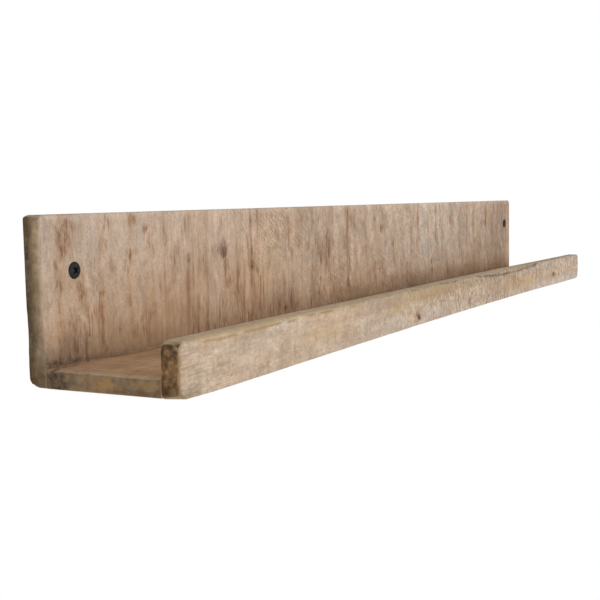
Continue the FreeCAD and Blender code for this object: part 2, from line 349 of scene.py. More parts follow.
        rings = []
        if front:
            rings.append(mouth(0, 0, profile[0][0], (0.0, -1.0, 0.0), False))
        for k, (radius, y) in enumerate(profile):
            if (front and k == 0) or (rear and k == len(profile) - 1):
                continue
            rings.append(ring(radius, y, True))
        if rear:
            rings.append(mouth(len(self.ys) - 1, 1, profile[-1][0], (0.0, 1.0, 0.0), True))
        for a, b in zip(rings, rings[1:]):
            quads_between(a, b, None, False)
        if not front:
            self.close(rings[0], x, profile[0][1], z, True)
        if not rear:
            self.close(rings[-1], x, profile[-1][1], z, False)

    def close(self, ring, x, y, z, at_front):
        tip = self.add_nodes(np.array([[x, y, z]]), np.array([[x, y, z]]), True)[0]
        j = np.roll(np.arange(len(ring)), -1)
        t = np.stack([ring, ring[j], np.full(len(ring), tip)], 1)
        if at_front:
            t = t[:, ::-1]
        self.tris.append(t)

    def face_y(self, iy, x):
        """(z, y) of the front or rear face along a grid column, before wear."""
        ix = int(np.abs(self.xs - x).argmin())
        ids = self.ids[ix, iy if iy == 0 else len(self.ys) - 1, :]
        order = np.argsort(self.pos[ids, 2])
        return self.pos[ids, 2][order], self.pos[ids, 1][order]

    def arrays(self):
        """(quads, tris, tag per quad) over the nodes that are used."""
        walls = np.vstack(self.wall_quads) if self.wall_quads else np.zeros((0, 4), int)
        quads = np.vstack([self.quads, walls])
        tags = np.concatenate([self.tags, np.full(len(walls), 6)])
        tris = np.vstack(self.tris) if self.tris else np.zeros((0, 3), int)
        used = np.zeros(len(self.pos), bool)
        used[quads.ravel()] = True
        used[tris.ravel()] = True
        new = np.cumsum(used) - 1
        self.used, self.new = used, new
        return new[quads], new[tris], tags

    def normals(self):
        """Averaged normals at every node, from the quads."""
        q = self.quads
        a, b, c, d = (self.pos[q[:, k]] for k in range(4))
        n = np.cross(c - a, d - b)
        out = np.zeros_like(self.pos)
        for k in range(4):
            np.add.at(out, q[:, k], n)
        length = np.linalg.norm(out, axis=1)
        out /= np.maximum(length, 1e-12)[:, None]
        for i, v in self.fixed.items():
            out[i] = v
        return out


def to_object(board, charts, hole_spot):
    """Blender object of a board. charts(tag, cub) gives the chart's u, v in mm
    and its own corner; everything is scaled to fit the unit square."""
    quads, tris, tags = board.arrays()
    pos, cub = board.pos[board.used], board.cub[board.used]
    mesh = bpy.data.meshes.new(board.name)
    nq, nt = len(quads), len(tris)
    mesh.vertices.add(len(pos))
    mesh.vertices.foreach_set("co", (pos * 0.001).astype(np.float32).ravel())
    mesh.loops.add(4 * nq + 3 * nt)
    mesh.loops.foreach_set("vertex_index", np.concatenate([quads.ravel(), tris.ravel()]).astype(np.int32))
    mesh.polygons.add(nq + nt)
    starts = np.concatenate([np.arange(nq) * 4, 4 * nq + np.arange(nt) * 3]).astype(np.int32)
    mesh.polygons.foreach_set("loop_start", starts)
    mesh.polygons.foreach_set("use_smooth", np.ones(nq + nt, bool))
    mesh.update(calc_edges=True)
    layer = mesh.uv_layers.new(name="OFBake")
    uv = np.zeros((4 * nq + 3 * nt, 2))
    corner = cub[quads]
    centre = corner.mean(1)
    size = charts["size"]
    for tag in range(6):
        pick = np.flatnonzero(tags == tag)
        if not len(pick):
            continue
        u, v = charts["place"](tag, corner[pick], centre[pick])
        rows = (pick[:, None] * 4 + np.arange(4)).ravel()
        uv[rows, 0] = u.ravel() / size
        uv[rows, 1] = v.ravel() / size
    # hole walls: one small rectangle for each ring of quads
    at = 0
    walls = np.flatnonzero(tags == 6)
    ux, uy = hole_spot
    for group in board.wall_quads:
        n = len(group)
        ids = walls[at:at + n]
        at += n
        if ux + 20.0 > size:
            ux, uy = hole_spot[0], uy + 3.2
        k = np.arange(n)
        u0, u1 = ux + 18.0 * k / n, ux + 18.0 * (k + 1) / n
        us = np.stack([u0, u1, u1, u0], 1)
        vs = np.stack([np.full(n, uy), np.full(n, uy), np.full(n, uy + 2.4), np.full(n, uy + 2.4)], 1)
        rows = (ids[:, None] * 4 + np.arange(4)).ravel()
        uv[rows, 0], uv[rows, 1] = us.ravel() / size, vs.ravel() / size
        ux += 20.0
    done = 0
    for t in board.tris:
        n = len(t)
        if ux + 6.0 > size:
            ux, uy = hole_spot[0], uy + 5.0
        a = 2.0 * math.pi * np.arange(n + 1) / n
        cx, cy, rr = ux + 2.0, uy + 2.0, 1.8
        us = np.stack([cx + rr * np.cos(a[:-1]), cx + rr * np.cos(a[1:]), np.full(n, cx)], 1)
        vs = np.stack([cy + rr * np.sin(a[:-1]), cy + rr * np.sin(a[1:]), np.full(n, cy)], 1)
        rows = 4 * nq + 3 * done + np.arange(3 * n)
        uv[rows, 0], uv[rows, 1] = us.ravel() / size, vs.ravel() / size
        done += n
        ux += 5.0
    layer.data.foreach_set("uv", uv.astype(np.float32).ravel())
    mesh.set_sharp_from_angle(angle=math.radians(48.0))
    mesh.validate()
    ob = bpy.data.objects.new(board.name, mesh)
    bpy.context.scene.collection.objects.link(ob)
    return ob


def write_marks(ob, marks):
    for name, values in marks.items():
        a = ob.data.attributes.new(name, "FLOAT", "POINT")
        a.data.foreach_set("value", np.clip(values, 0.0, 1.0).astype(np.float32))


def strips(count, width, rows, ends, gap=3.0):
    """Chart places: each long face is cut into count strips of this width.
    rows: {tag: (height, low)}, ends: {tag: (w, h, low_u, low_v)}."""
    base, at = {}, gap
    for s in range(count):
        for tag, (height, low) in rows.items():
            base[(s, tag)] = at
            at += height + gap
    top = at
    end_u = width + 2 * gap
    spots, v = {}, gap
    for tag, (w, h, lu, lv) in ends.items():
        spots[tag] = (end_u, v, lu, lv)
        v += h + gap
    wide = end_u + max(e[0] for e in ends.values()) + gap

    def place(tag, corner, centre):
        if tag in spots:
            u0, v0, lu, lv = spots[tag]
            return u0 + corner[:, :, 1] - lu, v0 + corner[:, :, 2] - lv
        s = np.clip(((centre[:, 0] + HALF) // width).astype(int), 0, count - 1)
        height, low = rows[tag]
        v0 = np.array([base[(k, tag)] for k in range(count)])[s][:, None]
        other = corner[:, :, 2] if tag in (0, 1) else corner[:, :, 1]
        return gap + corner[:, :, 0] + HALF - (s * width)[:, None], v0 + other - low

    return {"size": max(wide, top + 16.0), "place": place, "top": top, "gap": gap}


# -------------------------------------------------------------- the back board
def back_board():
    near = (0.35, 0.8, 1.3, 2.0, 3.0, 4.2, 5.6)
    rear_blocks = [(x - 5.0, x + 5.0, 10) for x in REAR_SCREW_X]
    wall_blocks = [(x - 4.0, x + 4.0, 8) for _, x, _ in WALL_SCREWS]
    xs = lines(-HALF, HALF, 1.1, [(0.0,)] + rear_blocks + wall_blocks, near, near,
               step_at=lambda v: 0.9 + 1.0 * (v + HALF) / 900.0)
    ys = lines(-BACK_T, 0.0, 1.9, (), (0.3, 0.7, 1.2, 2.0), (0.7, 1.5, 2.5, 3.6, 5.0, 6.6))
    zs = lines(Z0, Z1, 1.9, [(-48.75, -38.3, 10), (12.3, 15.5, 3), (15.5, 20.3, 5), (20.3, 23.5, 3)],
               (0.25,), (0.25, 0.6, 1.0, 1.5, 2.3, 3.4, 5.0))
    worn = lambda base, amp, seed: (lambda x: base + amp * noise(seed, x / 23.0) + 0.5 * amp * noise(seed + 1, x / 7.0))
    outline = lambda left, low, y: np.where(low, np.where(left, 1.6, 3.0), np.where(left, 2.3, 6.0))
    b = Board("back_board_wood", (-HALF, HALF, -BACK_T, 0.0, Z0, Z1), xs, ys, zs, outline, {
        "front_top": worn(1.3, 0.4, 11), "front_bottom": worn(0.4, 0.1, 13),
        "rear_top": worn(3.3, 0.3, 15),
        "rear_bottom": lambda x: 0.3 + (worn(5.4, 0.3, 17)(x) - 0.3) * smooth(HALF - 18.0, HALF - 42.0, np.abs(x)),
        "front_end": 1.5, "rear_end": 0.3})
    for _, x, z in WALL_SCREWS:
        zlow = 12.3 if z < 18 else 15.5
        b.hole(x, z, (x - 4.0, x + 4.0, zlow, zlow + 8.0),
               [(2.75, -BACK_T), (2.75, -8.4), (2.75, -4.2), (2.75, 0.0)], True, True)
    for x in REAR_SCREW_X:
        b.hole(x, REAR_SCREW_Z, (x - 5.0, x + 5.0, -48.75, -38.3),
               [(1.75, -BACK_T), (1.75, -4.75), (3.5, -2.55), (3.5, -2.2), (3.8, -2.2), (3.8, 0.0)],
               True, True)
    return b


def wear_back(b):
    # the rear lower corner is well rounded at the board's ends
    px, py, pz = b.pos.T
    u, v = 1.0 + py / 7.4, 1.0 - (pz - Z0) / 6.2
    near = (u > 0.0) & (v > 0.0)
    f = np.where(near, np.maximum(u, v) / np.maximum(np.hypot(u, v), 1e-9), 1.0)
    f = 1.0 + (f - 1.0) * smooth(HALF - 42.0, HALF - 18.0, np.abs(px))
    b.pos[:, 1] = np.where(near, (u * f - 1.0) * 7.4, py)
    b.pos[:, 2] = np.where(near, Z0 + (1.0 - v * f) * 6.2, pz)
    n = b.normals()
    p = b.pos
    x, y, z = p[:, 0], p[:, 1], p[:, 2]
    face = smooth(0.8, 0.98, np.abs(n[:, 1]))
    end = smooth(0.6, 0.95, np.abs(n[:, 0]))
    edge = 1.0 - np.maximum.reduce([smooth(0.93, 0.999, np.abs(n[:, k])) for k in range(3)])
    long_top = smooth(0.6, 0.95, np.abs(n[:, 2]))
    d = 0.05 + 0.05 * fbm(21, x / 70.0, y / 9.0 + 3.0, z / 45.0)
    saw = 0.055 * noise(31, x / 1.5, z / 70.0) + 0.06 * noise(33, x / 3.3, z / 95.0)
    saw += 0.07 * noise(35, x / 9.0, z / 160.0)
    right = 0.7 + 0.6 * smooth(-360.0, -250.0, x)
    d += face * right * (saw + 0.12)
    d += edge * (1.0 - 0.6 * long_top) * (0.06 + 0.2 * np.maximum(0.0, fbm(41, x / 9.0, y / 5.0, z / 8.0)) + 0.06 * noise(43, x / 2.6, y / 2.6, z / 2.6))
    d += end * (0.05 + 0.06 * noise(45, y / 1.6, z / 2.4) + 0.05 * noise(47, y / 5.0, z / 9.0))
    # left end: the wall-side arris is pressed in at one place
    up = z - Z0
    left = smooth(-444.0, -449.0, x)
    d += left * 0.35 * np.exp(-((up - 31.0) / 9.0) ** 2) * smooth(-8.0, -2.0, y)
    d *= 1.0 - 0.85 * left * smooth(-6.0, -2.0, y) * smooth(38.0, 55.0, up)
    d = np.where(b.wall, 0.0, np.maximum(d, 0.0))
    # nothing is taken off where a screw head bears on the face
    for _, sx, sz in WALL_SCREWS:
        r = np.hypot(x - sx, z - sz)
        d *= np.where(y < -6.0, smooth(3.5, 8.0, r) * 0.9 + 0.1, 1.0)
    b.pos = p - n * d[:, None]


# -------------------------------------------------------------- the shelf board
def shelf_board():
    near = (0.3, 0.7, 1.2, 2.0, 3.2)
    blocks = [(x - 3.0, x + 3.0, 6) for x in REAR_SCREW_X] + [(x - 2.5, x + 2.5, 5) for x, _ in BRADS]
    xs = lines(-HALF, HALF, 1.3, [(0.0,)] + blocks, near, near,
               step_at=lambda v: 1.05 + 0.5 * (v + HALF) / 900.0)
    y0, y1 = -DEPTH + LIP_T, -BACK_T
    ys = lines(y0, y1, 2.6, (), (0.3, 0.8, 1.6), (0.3, 0.7, 1.2, 1.8, 2.5, 3.4, 4.5, 6.0))
    top = Z0 + SHELF_T
    zs = lines(Z0, top, 1.0, [(-46.4, -40.2, 6), (-45.8, -41.2, 5)], (0.35, 0.9), (0.3, 0.8))
    edge = lambda base, seed: (lambda x: base + 0.25 * base * noise(seed, x / 17.0))
    b = Board("shelf_board_wood", (-HALF, HALF, y0, y1, Z0, top), xs, ys, zs,
              lambda left, low, y: np.where(low, 1.0, np.where(left, 2.4, 1.2)), {
        "front_top": edge(0.25, 51), "front_bottom": edge(0.3, 53), "rear_top": edge(0.3, 55),
        "rear_bottom": edge(0.3, 57), "front_end": 0.5, "rear_end": 0.5})
    iz = [float(v) for v in b.zs]
    def nearest(v):
        return iz[int(np.abs(b.zs - v).argmin())]
    for x in REAR_SCREW_X:
        b.hole(x, REAR_SCREW_Z, (x - 3.0, x + 3.0, nearest(-46.4), nearest(-40.2)),
               [(0.25, -40.2), (1.75, -35.2), (1.75, -24.0), (1.75, y1)], False, True)
    for x, z in BRADS:
        b.hole(x, z, (x - 2.5, x + 2.5, nearest(-45.8), nearest(-41.2)),
               [(0.65, y0), (0.65, -80.0), (0.65, -74.1), (0.15, -72.1)], True, False)
    return b


def joint_drop(X):
    """How far the shelf's upper rear edge is worn down along the back board."""
    return 1.9 * smooth(25.0, 100.0, X) * smooth(330.0, 200.0, X) + 0.12 * noise(73, X / 9.0)


def wear_shelf(b):
    n = b.normals()
    p = b.pos
    x, y, z = p[:, 0], p[:, 1], p[:, 2]
    X = x + HALF
    flat = smooth(0.8, 0.98, np.abs(n[:, 2]))
    end = smooth(0.6, 0.95, np.abs(n[:, 0]))
    joint = (y > -BACK_T - 0.4) | (y < -DEPTH + LIP_T + 0.4)
    d = flat * (0.06 + 0.05 * noise(61, x / 60.0, y / 40.0) + 0.04 * noise(63, x / 2.6 + 0.02 * y, y / 60.0)
                + 0.03 * noise(64, x / 6.5, y / 70.0))
    d *= np.where(n[:, 2] < 0, 0.4, 1.0)
    d += end * (0.08 + 0.08 * noise(65, y / 2.2, z / 1.6) + 0.10 * fbm(66, y / 8.0, z / 4.0))
    edge = 1.0 - np.maximum.reduce([smooth(0.93, 0.999, np.abs(n[:, k])) for k in range(3)])
    d += edge * (0.05 + 0.07 * noise(67, x / 5.0, y / 6.0, z / 3.0))
    d = np.where(joint, np.minimum(d, 0.02), d)
    d = np.where(b.wall, 0.0, np.maximum(d, 0.0))
    q = p - n * d[:, None]
    # torn edge along the back board: wood missing from the shelf's upper rear
    # corner, deep near the left end
    gap = -BACK_T - y
    depth = 1.2 * smooth(75.0, 14.0, X) * smooth(-2.0, 9.0, X) + 0.9 * smooth(190.0, 60.0, X) + 0.25
    depth = depth * (0.75 + 0.55 * noise(68, x / 7.0) + 0.25 * noise(69, x / 2.2))
    reach = 1.6 + 3.4 * smooth(80.0, 5.0, X) + 1.2 * noise(70, x / 8.0)
    up = n[:, 2] > 0.3
    cut = np.clip(depth, 0.05, 3.6) * smooth(1.0, 0.15, gap / np.maximum(reach, 0.6)) * smooth(90.0, 40.0, X)
    cut = cut + np.maximum(joint_drop(X), 0.0) * smooth(17.0, 0.0, gap)
    q[:, 2] -= np.where(up, cut, 0.0)
    # the left end's upper edge is wavy
    lip = smooth(7.0, 0.5, X) * smooth(0.3, 0.9, n[:, 2])
    dip = 0.75 * smooth(-24.0, -46.0, y) * (1.0 - 0.25 * smooth(-78.0, -90.0, y))
    lip = lip + smooth(16.0, 1.0, X) * smooth(0.3, 0.9, n[:, 2]) * dip
    q[:, 2] -= lip * (0.35 + 0.3 * noise(71, y / 6.0) + 0.15 * noise(72, y / 2.1))
    b.pos = q


# ---------------------------------------------------------------- the front lip
def bow(X, up):
    low = np.interp(X, *np.array(LIP_LOWER_EDGE).T)
    high = np.interp(X, *np.array(LIP_UPPER_EDGE).T)
    t = np.clip(up / LIP_H, 0.0, 1.0)
    return low + (high - low) * t


def wane_line(X):
    """Height of the bark edge's lower limit over the lip's bottom."""
    t = np.interp(X, (470.0, 492.0, 512.0, 545.0, 575.0, 602.0, 640.0, 672.0, 700.0, 716.0),
                  (31.5, 29.3, 27.2, 25.6, 24.8, 24.9, 25.8, 26.6, 28.6, 31.5))
    return t + 0.5 * noise(81, X / 9.0) + 0.25 * noise(82, X / 3.1)


def worn_arris(X):
    """Where the upper front arris is worn broad: 0 to 1."""
    return smooth(4.0, 24.0, X) * (1.0 - 0.75 * smooth(100.0, 150.0, X)) * smooth(330.0, 200.0, X)


def front_lip():
    near = (0.35, 0.8, 1.4, 2.2, 3.2, 4.5, 6.0, 7.8)
    blocks = [(x - 3.0, x + 3.0, 6) for x, _ in BRADS]
    xs = lines(-HALF, HALF, 1.0, [(-150.0,), (150.0,)] + blocks, near, near,
               step_at=lambda v: 0.9 + 0.35 * (v + HALF) / 900.0)
    ys = lines(-DEPTH, -DEPTH + LIP_T, 1.5, (), (0.35, 0.8, 1.4, 2.2, 3.4, 5.0), (0.4, 0.9, 1.6))
    zs = lines(Z0, Z0 + LIP_H, 1.05, [(Z0 + 2.6, Z0 + 8.6, 6)], (0.3, 0.7, 1.2, 1.8), (0.3, 0.7, 1.2, 1.8, 2.6, 3.6, 5.0))
    zone = lambda x: smooth(500.0, 560.0, x + HALF) * smooth(705.0, 650.0, x + HALF)
    worn = lambda base, amp, seed: (lambda x: base + amp * noise(seed, x / 19.0) + 0.5 * amp * noise(seed + 1, x / 6.0))
    top = worn(1.7, 0.35, 91)
    b = Board("front_lip_wood", (-HALF, HALF, -DEPTH, -DEPTH + LIP_T, Z0, Z0 + LIP_H), xs, ys, zs,
              lambda left, low, y: np.where(low, 8.6 - 5.0 * (y + DEPTH) / LIP_T, 6.2), {
        "front_top": lambda x: top(x) + 2.6 * zone(x) + 2.0 * worn_arris(x + HALF),
        "front_bottom": worn(1.2, 0.25, 93), "rear_top": worn(0.6, 0.15, 95),
        "rear_bottom": worn(0.5, 0.12, 97), "front_end": 2.8, "rear_end": 0.4})
    # the strip's bow, before the holes are cut
    b.pos[:, 2] += bow(b.pos[:, 0] + HALF, b.pos[:, 2] - Z0)
    for x, z in BRADS:
        b.hole(x, z, (x - 3.0, x + 3.0, Z0 + 2.6, Z0 + 8.6),
               [(1.02, -DEPTH), (1.02, -101.4), (0.65, -101.05), (0.65, -95.0), (0.65, -DEPTH + LIP_T)],
               True, True)
    return b


def wear_lip(b):
    n = b.normals()
    p = b.pos
    x, y, z = p[:, 0], p[:, 1], p[:, 2]
    X, up = x + HALF, z - Z0
    face = smooth(0.8, 0.98, np.abs(n[:, 1]))
    end = smooth(0.6, 0.95, np.abs(n[:, 0]))
    long_top = smooth(0.6, 0.95, np.abs(n[:, 2]))
    edge = 1.0 - np.maximum.reduce([smooth(0.93, 0.999, np.abs(n[:, k])) for k in range(3)])
    d = 0.04 + 0.04 * fbm(101, x / 55.0, y / 9.0, z / 16.0)
    front = face * (n[:, 1] < 0)
    d += front * (0.10 + 0.09 * noise(103, x / 26.0, z / 1.9) + 0.07 * noise(105, x / 4.5, z / 60.0)
                  + 0.06 * noise(107, x / 11.0, z / 3.4))
    d += (face - front) * (0.05 + 0.05 * noise(109, x / 30.0, z / 2.2))
    d += long_top * (0.02 + 0.02 * noise(111, x / 30.0, y / 1.7))
    d += edge * np.where(n[:, 2] < 0, 0.25, 0.7) * (0.08 + 0.24 * np.maximum(0.0, fbm(113, x / 7.0, y / 4.0, z / 4.0)) + 0.10 * noise(115, x / 2.4, y / 2.4, z / 2.4))
    # left end: pitted end grain
    left = smooth(-446.0, -449.5, x)
    pit = np.maximum(0.0, fbm(117, y / 2.6, z / 2.8) + 0.15)
    upper = smooth(10.0, 20.0, up) * smooth(-92.0, -98.5, y)
    d += end * (0.05 + 0.09 * noise(119, y / 1.5, z / 1.7)) + left * end * pit * (0.35 + 0.75 * upper)
    d += smooth(446.0, 449.5, x) * end * 0.2 * pit
    # chip at the left end's upper front corner
    d += 0.9 * np.exp(-((X - 2.0) / 2.2) ** 2 - ((up - 28.5) / 2.4) ** 2 - ((y + DEPTH - 1.5) / 2.5) ** 2)
    # wane: the wood over the bark line stands back a little
    over = up - wane_line(X)
    d += front * 0.55 * smooth(-0.5, 0.9, over) * smooth(478.0, 500.0, X) * smooth(712.0, 690.0, X)
    d += front * 0.45 * np.exp(-(over / 0.9) ** 2) * smooth(478.0, 500.0, X) * smooth(712.0, 690.0, X)
    # nicks along the upper front arris
    nick = np.maximum(0.0, noise(121, x / 5.0) - 0.35) * smooth(160.0, 190.0, X) * smooth(485.0, 470.0, X)
    d += edge * 0.9 * nick * (n[:, 2] > 0.2) * (y < -96.0)
    # dent round the brad whose head shows
    for i, (bx, bz) in enumerate(BRADS):
        r = np.hypot((x - bx) / (1.7 if i == 2 else 1.2), z - bz)
        if i == 2:
            d += (y < -DEPTH + 1.5) * 0.25 * np.exp(-(r / 1.8) ** 2)
        else:
            d *= 1.0 - 0.6 * (y < -DEPTH + 1.5) * np.exp(-(r / 2.6) ** 2)
    # torn-out patches
    for tx, tz, rx, rz, deep in ((236.0, 14.0, 14.0, 3.2, 0.25), (497.0, 16.0, 9.0, 3.0, 0.3),
                                 (778.0, 11.5, 7.0, 2.4, 0.2)):
        e = ((X - tx) / rx) ** 2 + ((up - tz) / rz) ** 2
        d += front * deep * smooth(1.3, 0.4, e + 0.5 * noise(123, x / 3.0, z / 1.2))
    joint = (y > -DEPTH + LIP_T - 0.3) & (up < SHELF_T)
    d = np.where(joint, np.minimum(d, 0.02), d)
    d = np.where(b.wall, 0.0, np.maximum(d, 0.0))
    b.pos = p - n * d[:, None]


# --------------------------------------------------------- marks on each board
def rims(n):
    return 1.0 - np.maximum.reduce([smooth(0.86, 0.995, np.abs(n[:, k])) for k in range(3)])


def either(*masks):
    """Union of masks: one minus the product of what each leaves free."""
    free = 1.0
    for m in masks:
        free = free * (1.0 - np.clip(m, 0.0, 1.0))
    return 1.0 - free


def saw_steps(X, up, places, seed, decay=11.0):
    """Bands left by the saw: each starts sharply at a place and fades to the
    right of it. Returns a factor near 1."""
    bend = 0.8 * noise(seed, up / 38.0) + 0.3 * noise(seed + 1, up / 11.0)
    out = np.ones(np.shape(X))
    for i, at in enumerate(places):
        u = X - at - bend
        depth = 0.085 + 0.05 * lattice_value(seed + 3, np.array([float(i)]))[0]
        along = 0.65 + 0.5 * noise(seed + 7 + i, up / 33.0)
        out -= depth * along * smooth(-0.5, 0.5, u) * np.exp(-np.maximum(u, 0.0) / decay)
    return out


def tone(value):
    """Brightness factor 0.4 to 1.6 as a mask of 0 to 1."""
    return (np.asarray(value) - 0.4) / 1.2


def marks_back(b):
    """Where the wood is stained, dark, pale and so on. Positions are distances
    from the left end and heights over the bottom edge, in mm."""
    n = b.normals()[b.used]
    c = b.pos[b.used]
    x, y, z = c[:, 0], c[:, 1], c[:, 2]
    X, up = x + HALF, z - Z0
    front = smooth(-0.35, -0.75, n[:, 1])
    def stretched(rows):
        return [(r[0], r[1], r[2], r[3] * (1.0 + 0.35 * float(smooth(200.0, 420.0, r[0]))),
                 min(1.0, r[4] * (1.0 + 0.3 * float(smooth(200.0, 420.0, r[0]))))) + tuple(r[5:]) for r in rows]
    brown = streaks(X, up, stretched([
        (17.0, 95, 70, 1.9, 0.9, 0.12), (22, 98, 76, 2.4, 0.8, 0.1), (19, 98, 70, 5.0, 0.6, 0.12),
        (13.2, 72, 50, 1.6, 0.8), (15.5, 66, 48, 1.3, 0.6), (33, 63, 44, 1.8, 0.6), (36.5, 56, 38, 1.8, 0.8), (31, 58, 46, 1.1, 0.7),
        (21, 40, 28, 1.8, 0.7), (25, 36, 23, 2.0, 0.6), (17, 40, 14, 1.0, 0.6), (35, 27, 15, 1.6, 0.7), (29, 46, 30, 1.0, 0.5),
        (11.8, 74, 63, 1.2, 0.65), (14.5, 62, 52, 0.9, 0.6), (13, 54, 14, 0.8, 0.5),
        (53, 88, 71, 1.3, 0.55, 0.28), (62.5, 73, 57, 2.0, 0.75), (77, 93, 84, 0.9, 0.7),
        (82.5, 98, 88, 3.6, 0.8), (81, 77, 66, 1.4, 0.85), (80, 68, 28, 0.9, 0.55),
        (97, 90, 83, 2.6, 0.8), (102, 83, 74, 1.4, 0.65), (49, 49, 32, 0.8, 0.7),
        (51, 50, 8, 1.6, 0.35), (82, 42, 2, 1.2, 0.5), (95, 42, 2, 1.2, 0.45),
        (118, 63, 10, 1.0, 0.6), (121.5, 39, 17, 0.9, 0.65), (128, 62, 48, 3.0, 0.5),
        (145.5, 96, 78, 2.4, 0.5), (145.5, 62, 24, 2.2, 0.75), (152, 61, 44, 1.2, 0.65),
        (158, 60, 52, 1.2, 0.65), (151, 98, 10, 0.7, 0.4), (168, 64, 49, 1.9, 0.8),
        (167.7, 37, 12, 1.5, 0.9), (172, 59, 49, 1.8, 0.65), (168, 98, 10, 1.1, 0.45),
        (187, 97, 79, 1.0, 0.55), (190, 97, 79, 0.8, 0.55), (197, 97, 79, 1.0, 0.5),
        (192, 80, 72, 1.4, 0.7), (192.3, 66, 51, 0.9, 0.75), (197, 66, 51, 1.1, 0.65),
        (192.5, 51, 41, 3.8, 0.6), (193, 43, 27, 0.9, 0.7), (202, 52, 18, 1.1, 0.5),
        (212, 65, 43, 2.0, 0.7), (220.5, 61, 53, 1.5, 0.7), (230.2, 98, 10, 1.1, 0.6),
        (230, 93, 83, 1.4, 0.85), (230, 79, 57, 1.5, 0.8), (230, 54, 37, 1.5, 0.85),
        (230, 29, 13, 1.3, 0.8), (252.5, 81, 71, 1.6, 0.7), (257.5, 68, 63, 1.3, 0.6, 0.6),
        (257, 61, 50, 1.3, 0.75), (271, 84, 68, 2.4, 0.6), (289, 93, 62, 2.2, 0.75),
        (289, 62, 36, 1.0, 0.6), (292, 35, 12, 3.6, 0.85), (282, 21, 15, 4.0, 0.7),
        (304, 89, 80, 4.5, 0.5), (307, 75, 63, 3.4, 0.55), (323, 69, 61, 2.6, 0.6),
        (342.5, 90, 82, 1.7, 0.8), (342.5, 78, 68, 1.7, 0.8), (342.5, 66, 54, 1.9, 0.8),
        (401, 99, 18, 2.4, 0.65), (476.5, 80, 70, 2.2, 0.7), (571.5, 92, 48, 2.6, 0.6),
        (624.5, 99, 54, 2.2, 0.6), (675, 92, 58, 3.8, 0.6), (798, 94, 62, 4.0, 0.75),
        (312, 96, 20, 1.0, 0.4), (333, 70, 5, 1.1, 0.4), (412, 90, 25, 0.9, 0.4),
        (440, 96, 30, 1.3, 0.45), (507, 98, 35, 1.2, 0.45), (530, 90, 20, 1.5, 0.4),
        (552, 96, 40, 1.0, 0.45), (600, 97, 28, 1.4, 0.45), (645, 96, 30, 1.4, 0.5),
        (702, 98, 32, 1.6, 0.5), (728, 96, 28, 1.3, 0.45), (752, 98, 30, 1.9, 0.5),
        (776, 98, 30, 1.5, 0.45), (828, 98, 30, 1.8, 0.5), (848, 98, 30, 1.4, 0.5),
        (868, 96, 40, 1.9, 0.55), (882, 98, 25, 1.5, 0.65)]), 500)
    brown = either(brown, blobs(X, up, [
        (23, 88, 12, 11, 0.3), (17, 84, 5, 14, 0.5), (33, 56, 5, 12, 0.35), (24, 28, 9, 12, 0.25), (35, 50, 3.4, 2.4, 0.6), (52, 50, 3.0, 3.0, 0.6),
        (120, 45, 3.4, 4.0, 0.45), (145, 30, 4, 15, 0.35), (191, 68, 8, 8, 0.5),
        (232, 56, 8, 7, 0.7), (348.5, 58, 5, 4, 0.6), (302, 20, 5, 4, 0.55),
        (360, 62, 9, 16, 0.4), (272, 20, 6, 8, 0.5), (104, 33, 2.2, 2.2, 0.7),
        (68, 26.5, 1.8, 2.0, 0.7), (34, 18, 2.2, 2.4, 0.6), (54, 15.5, 2.4, 2.4, 0.6),
        (108, 35, 14, 30, 0.15), (150, 55, 18, 40, 0.15), (66, 30, 9, 24, 0.15),
        # the patch at 872, 66 round the right wall screw's head is a painted shadow
        (798, 78, 5, 15, 0.4), (872, 66, 14, 12, 0.4), (386, 30, 24, 22, 0.2)], 560))
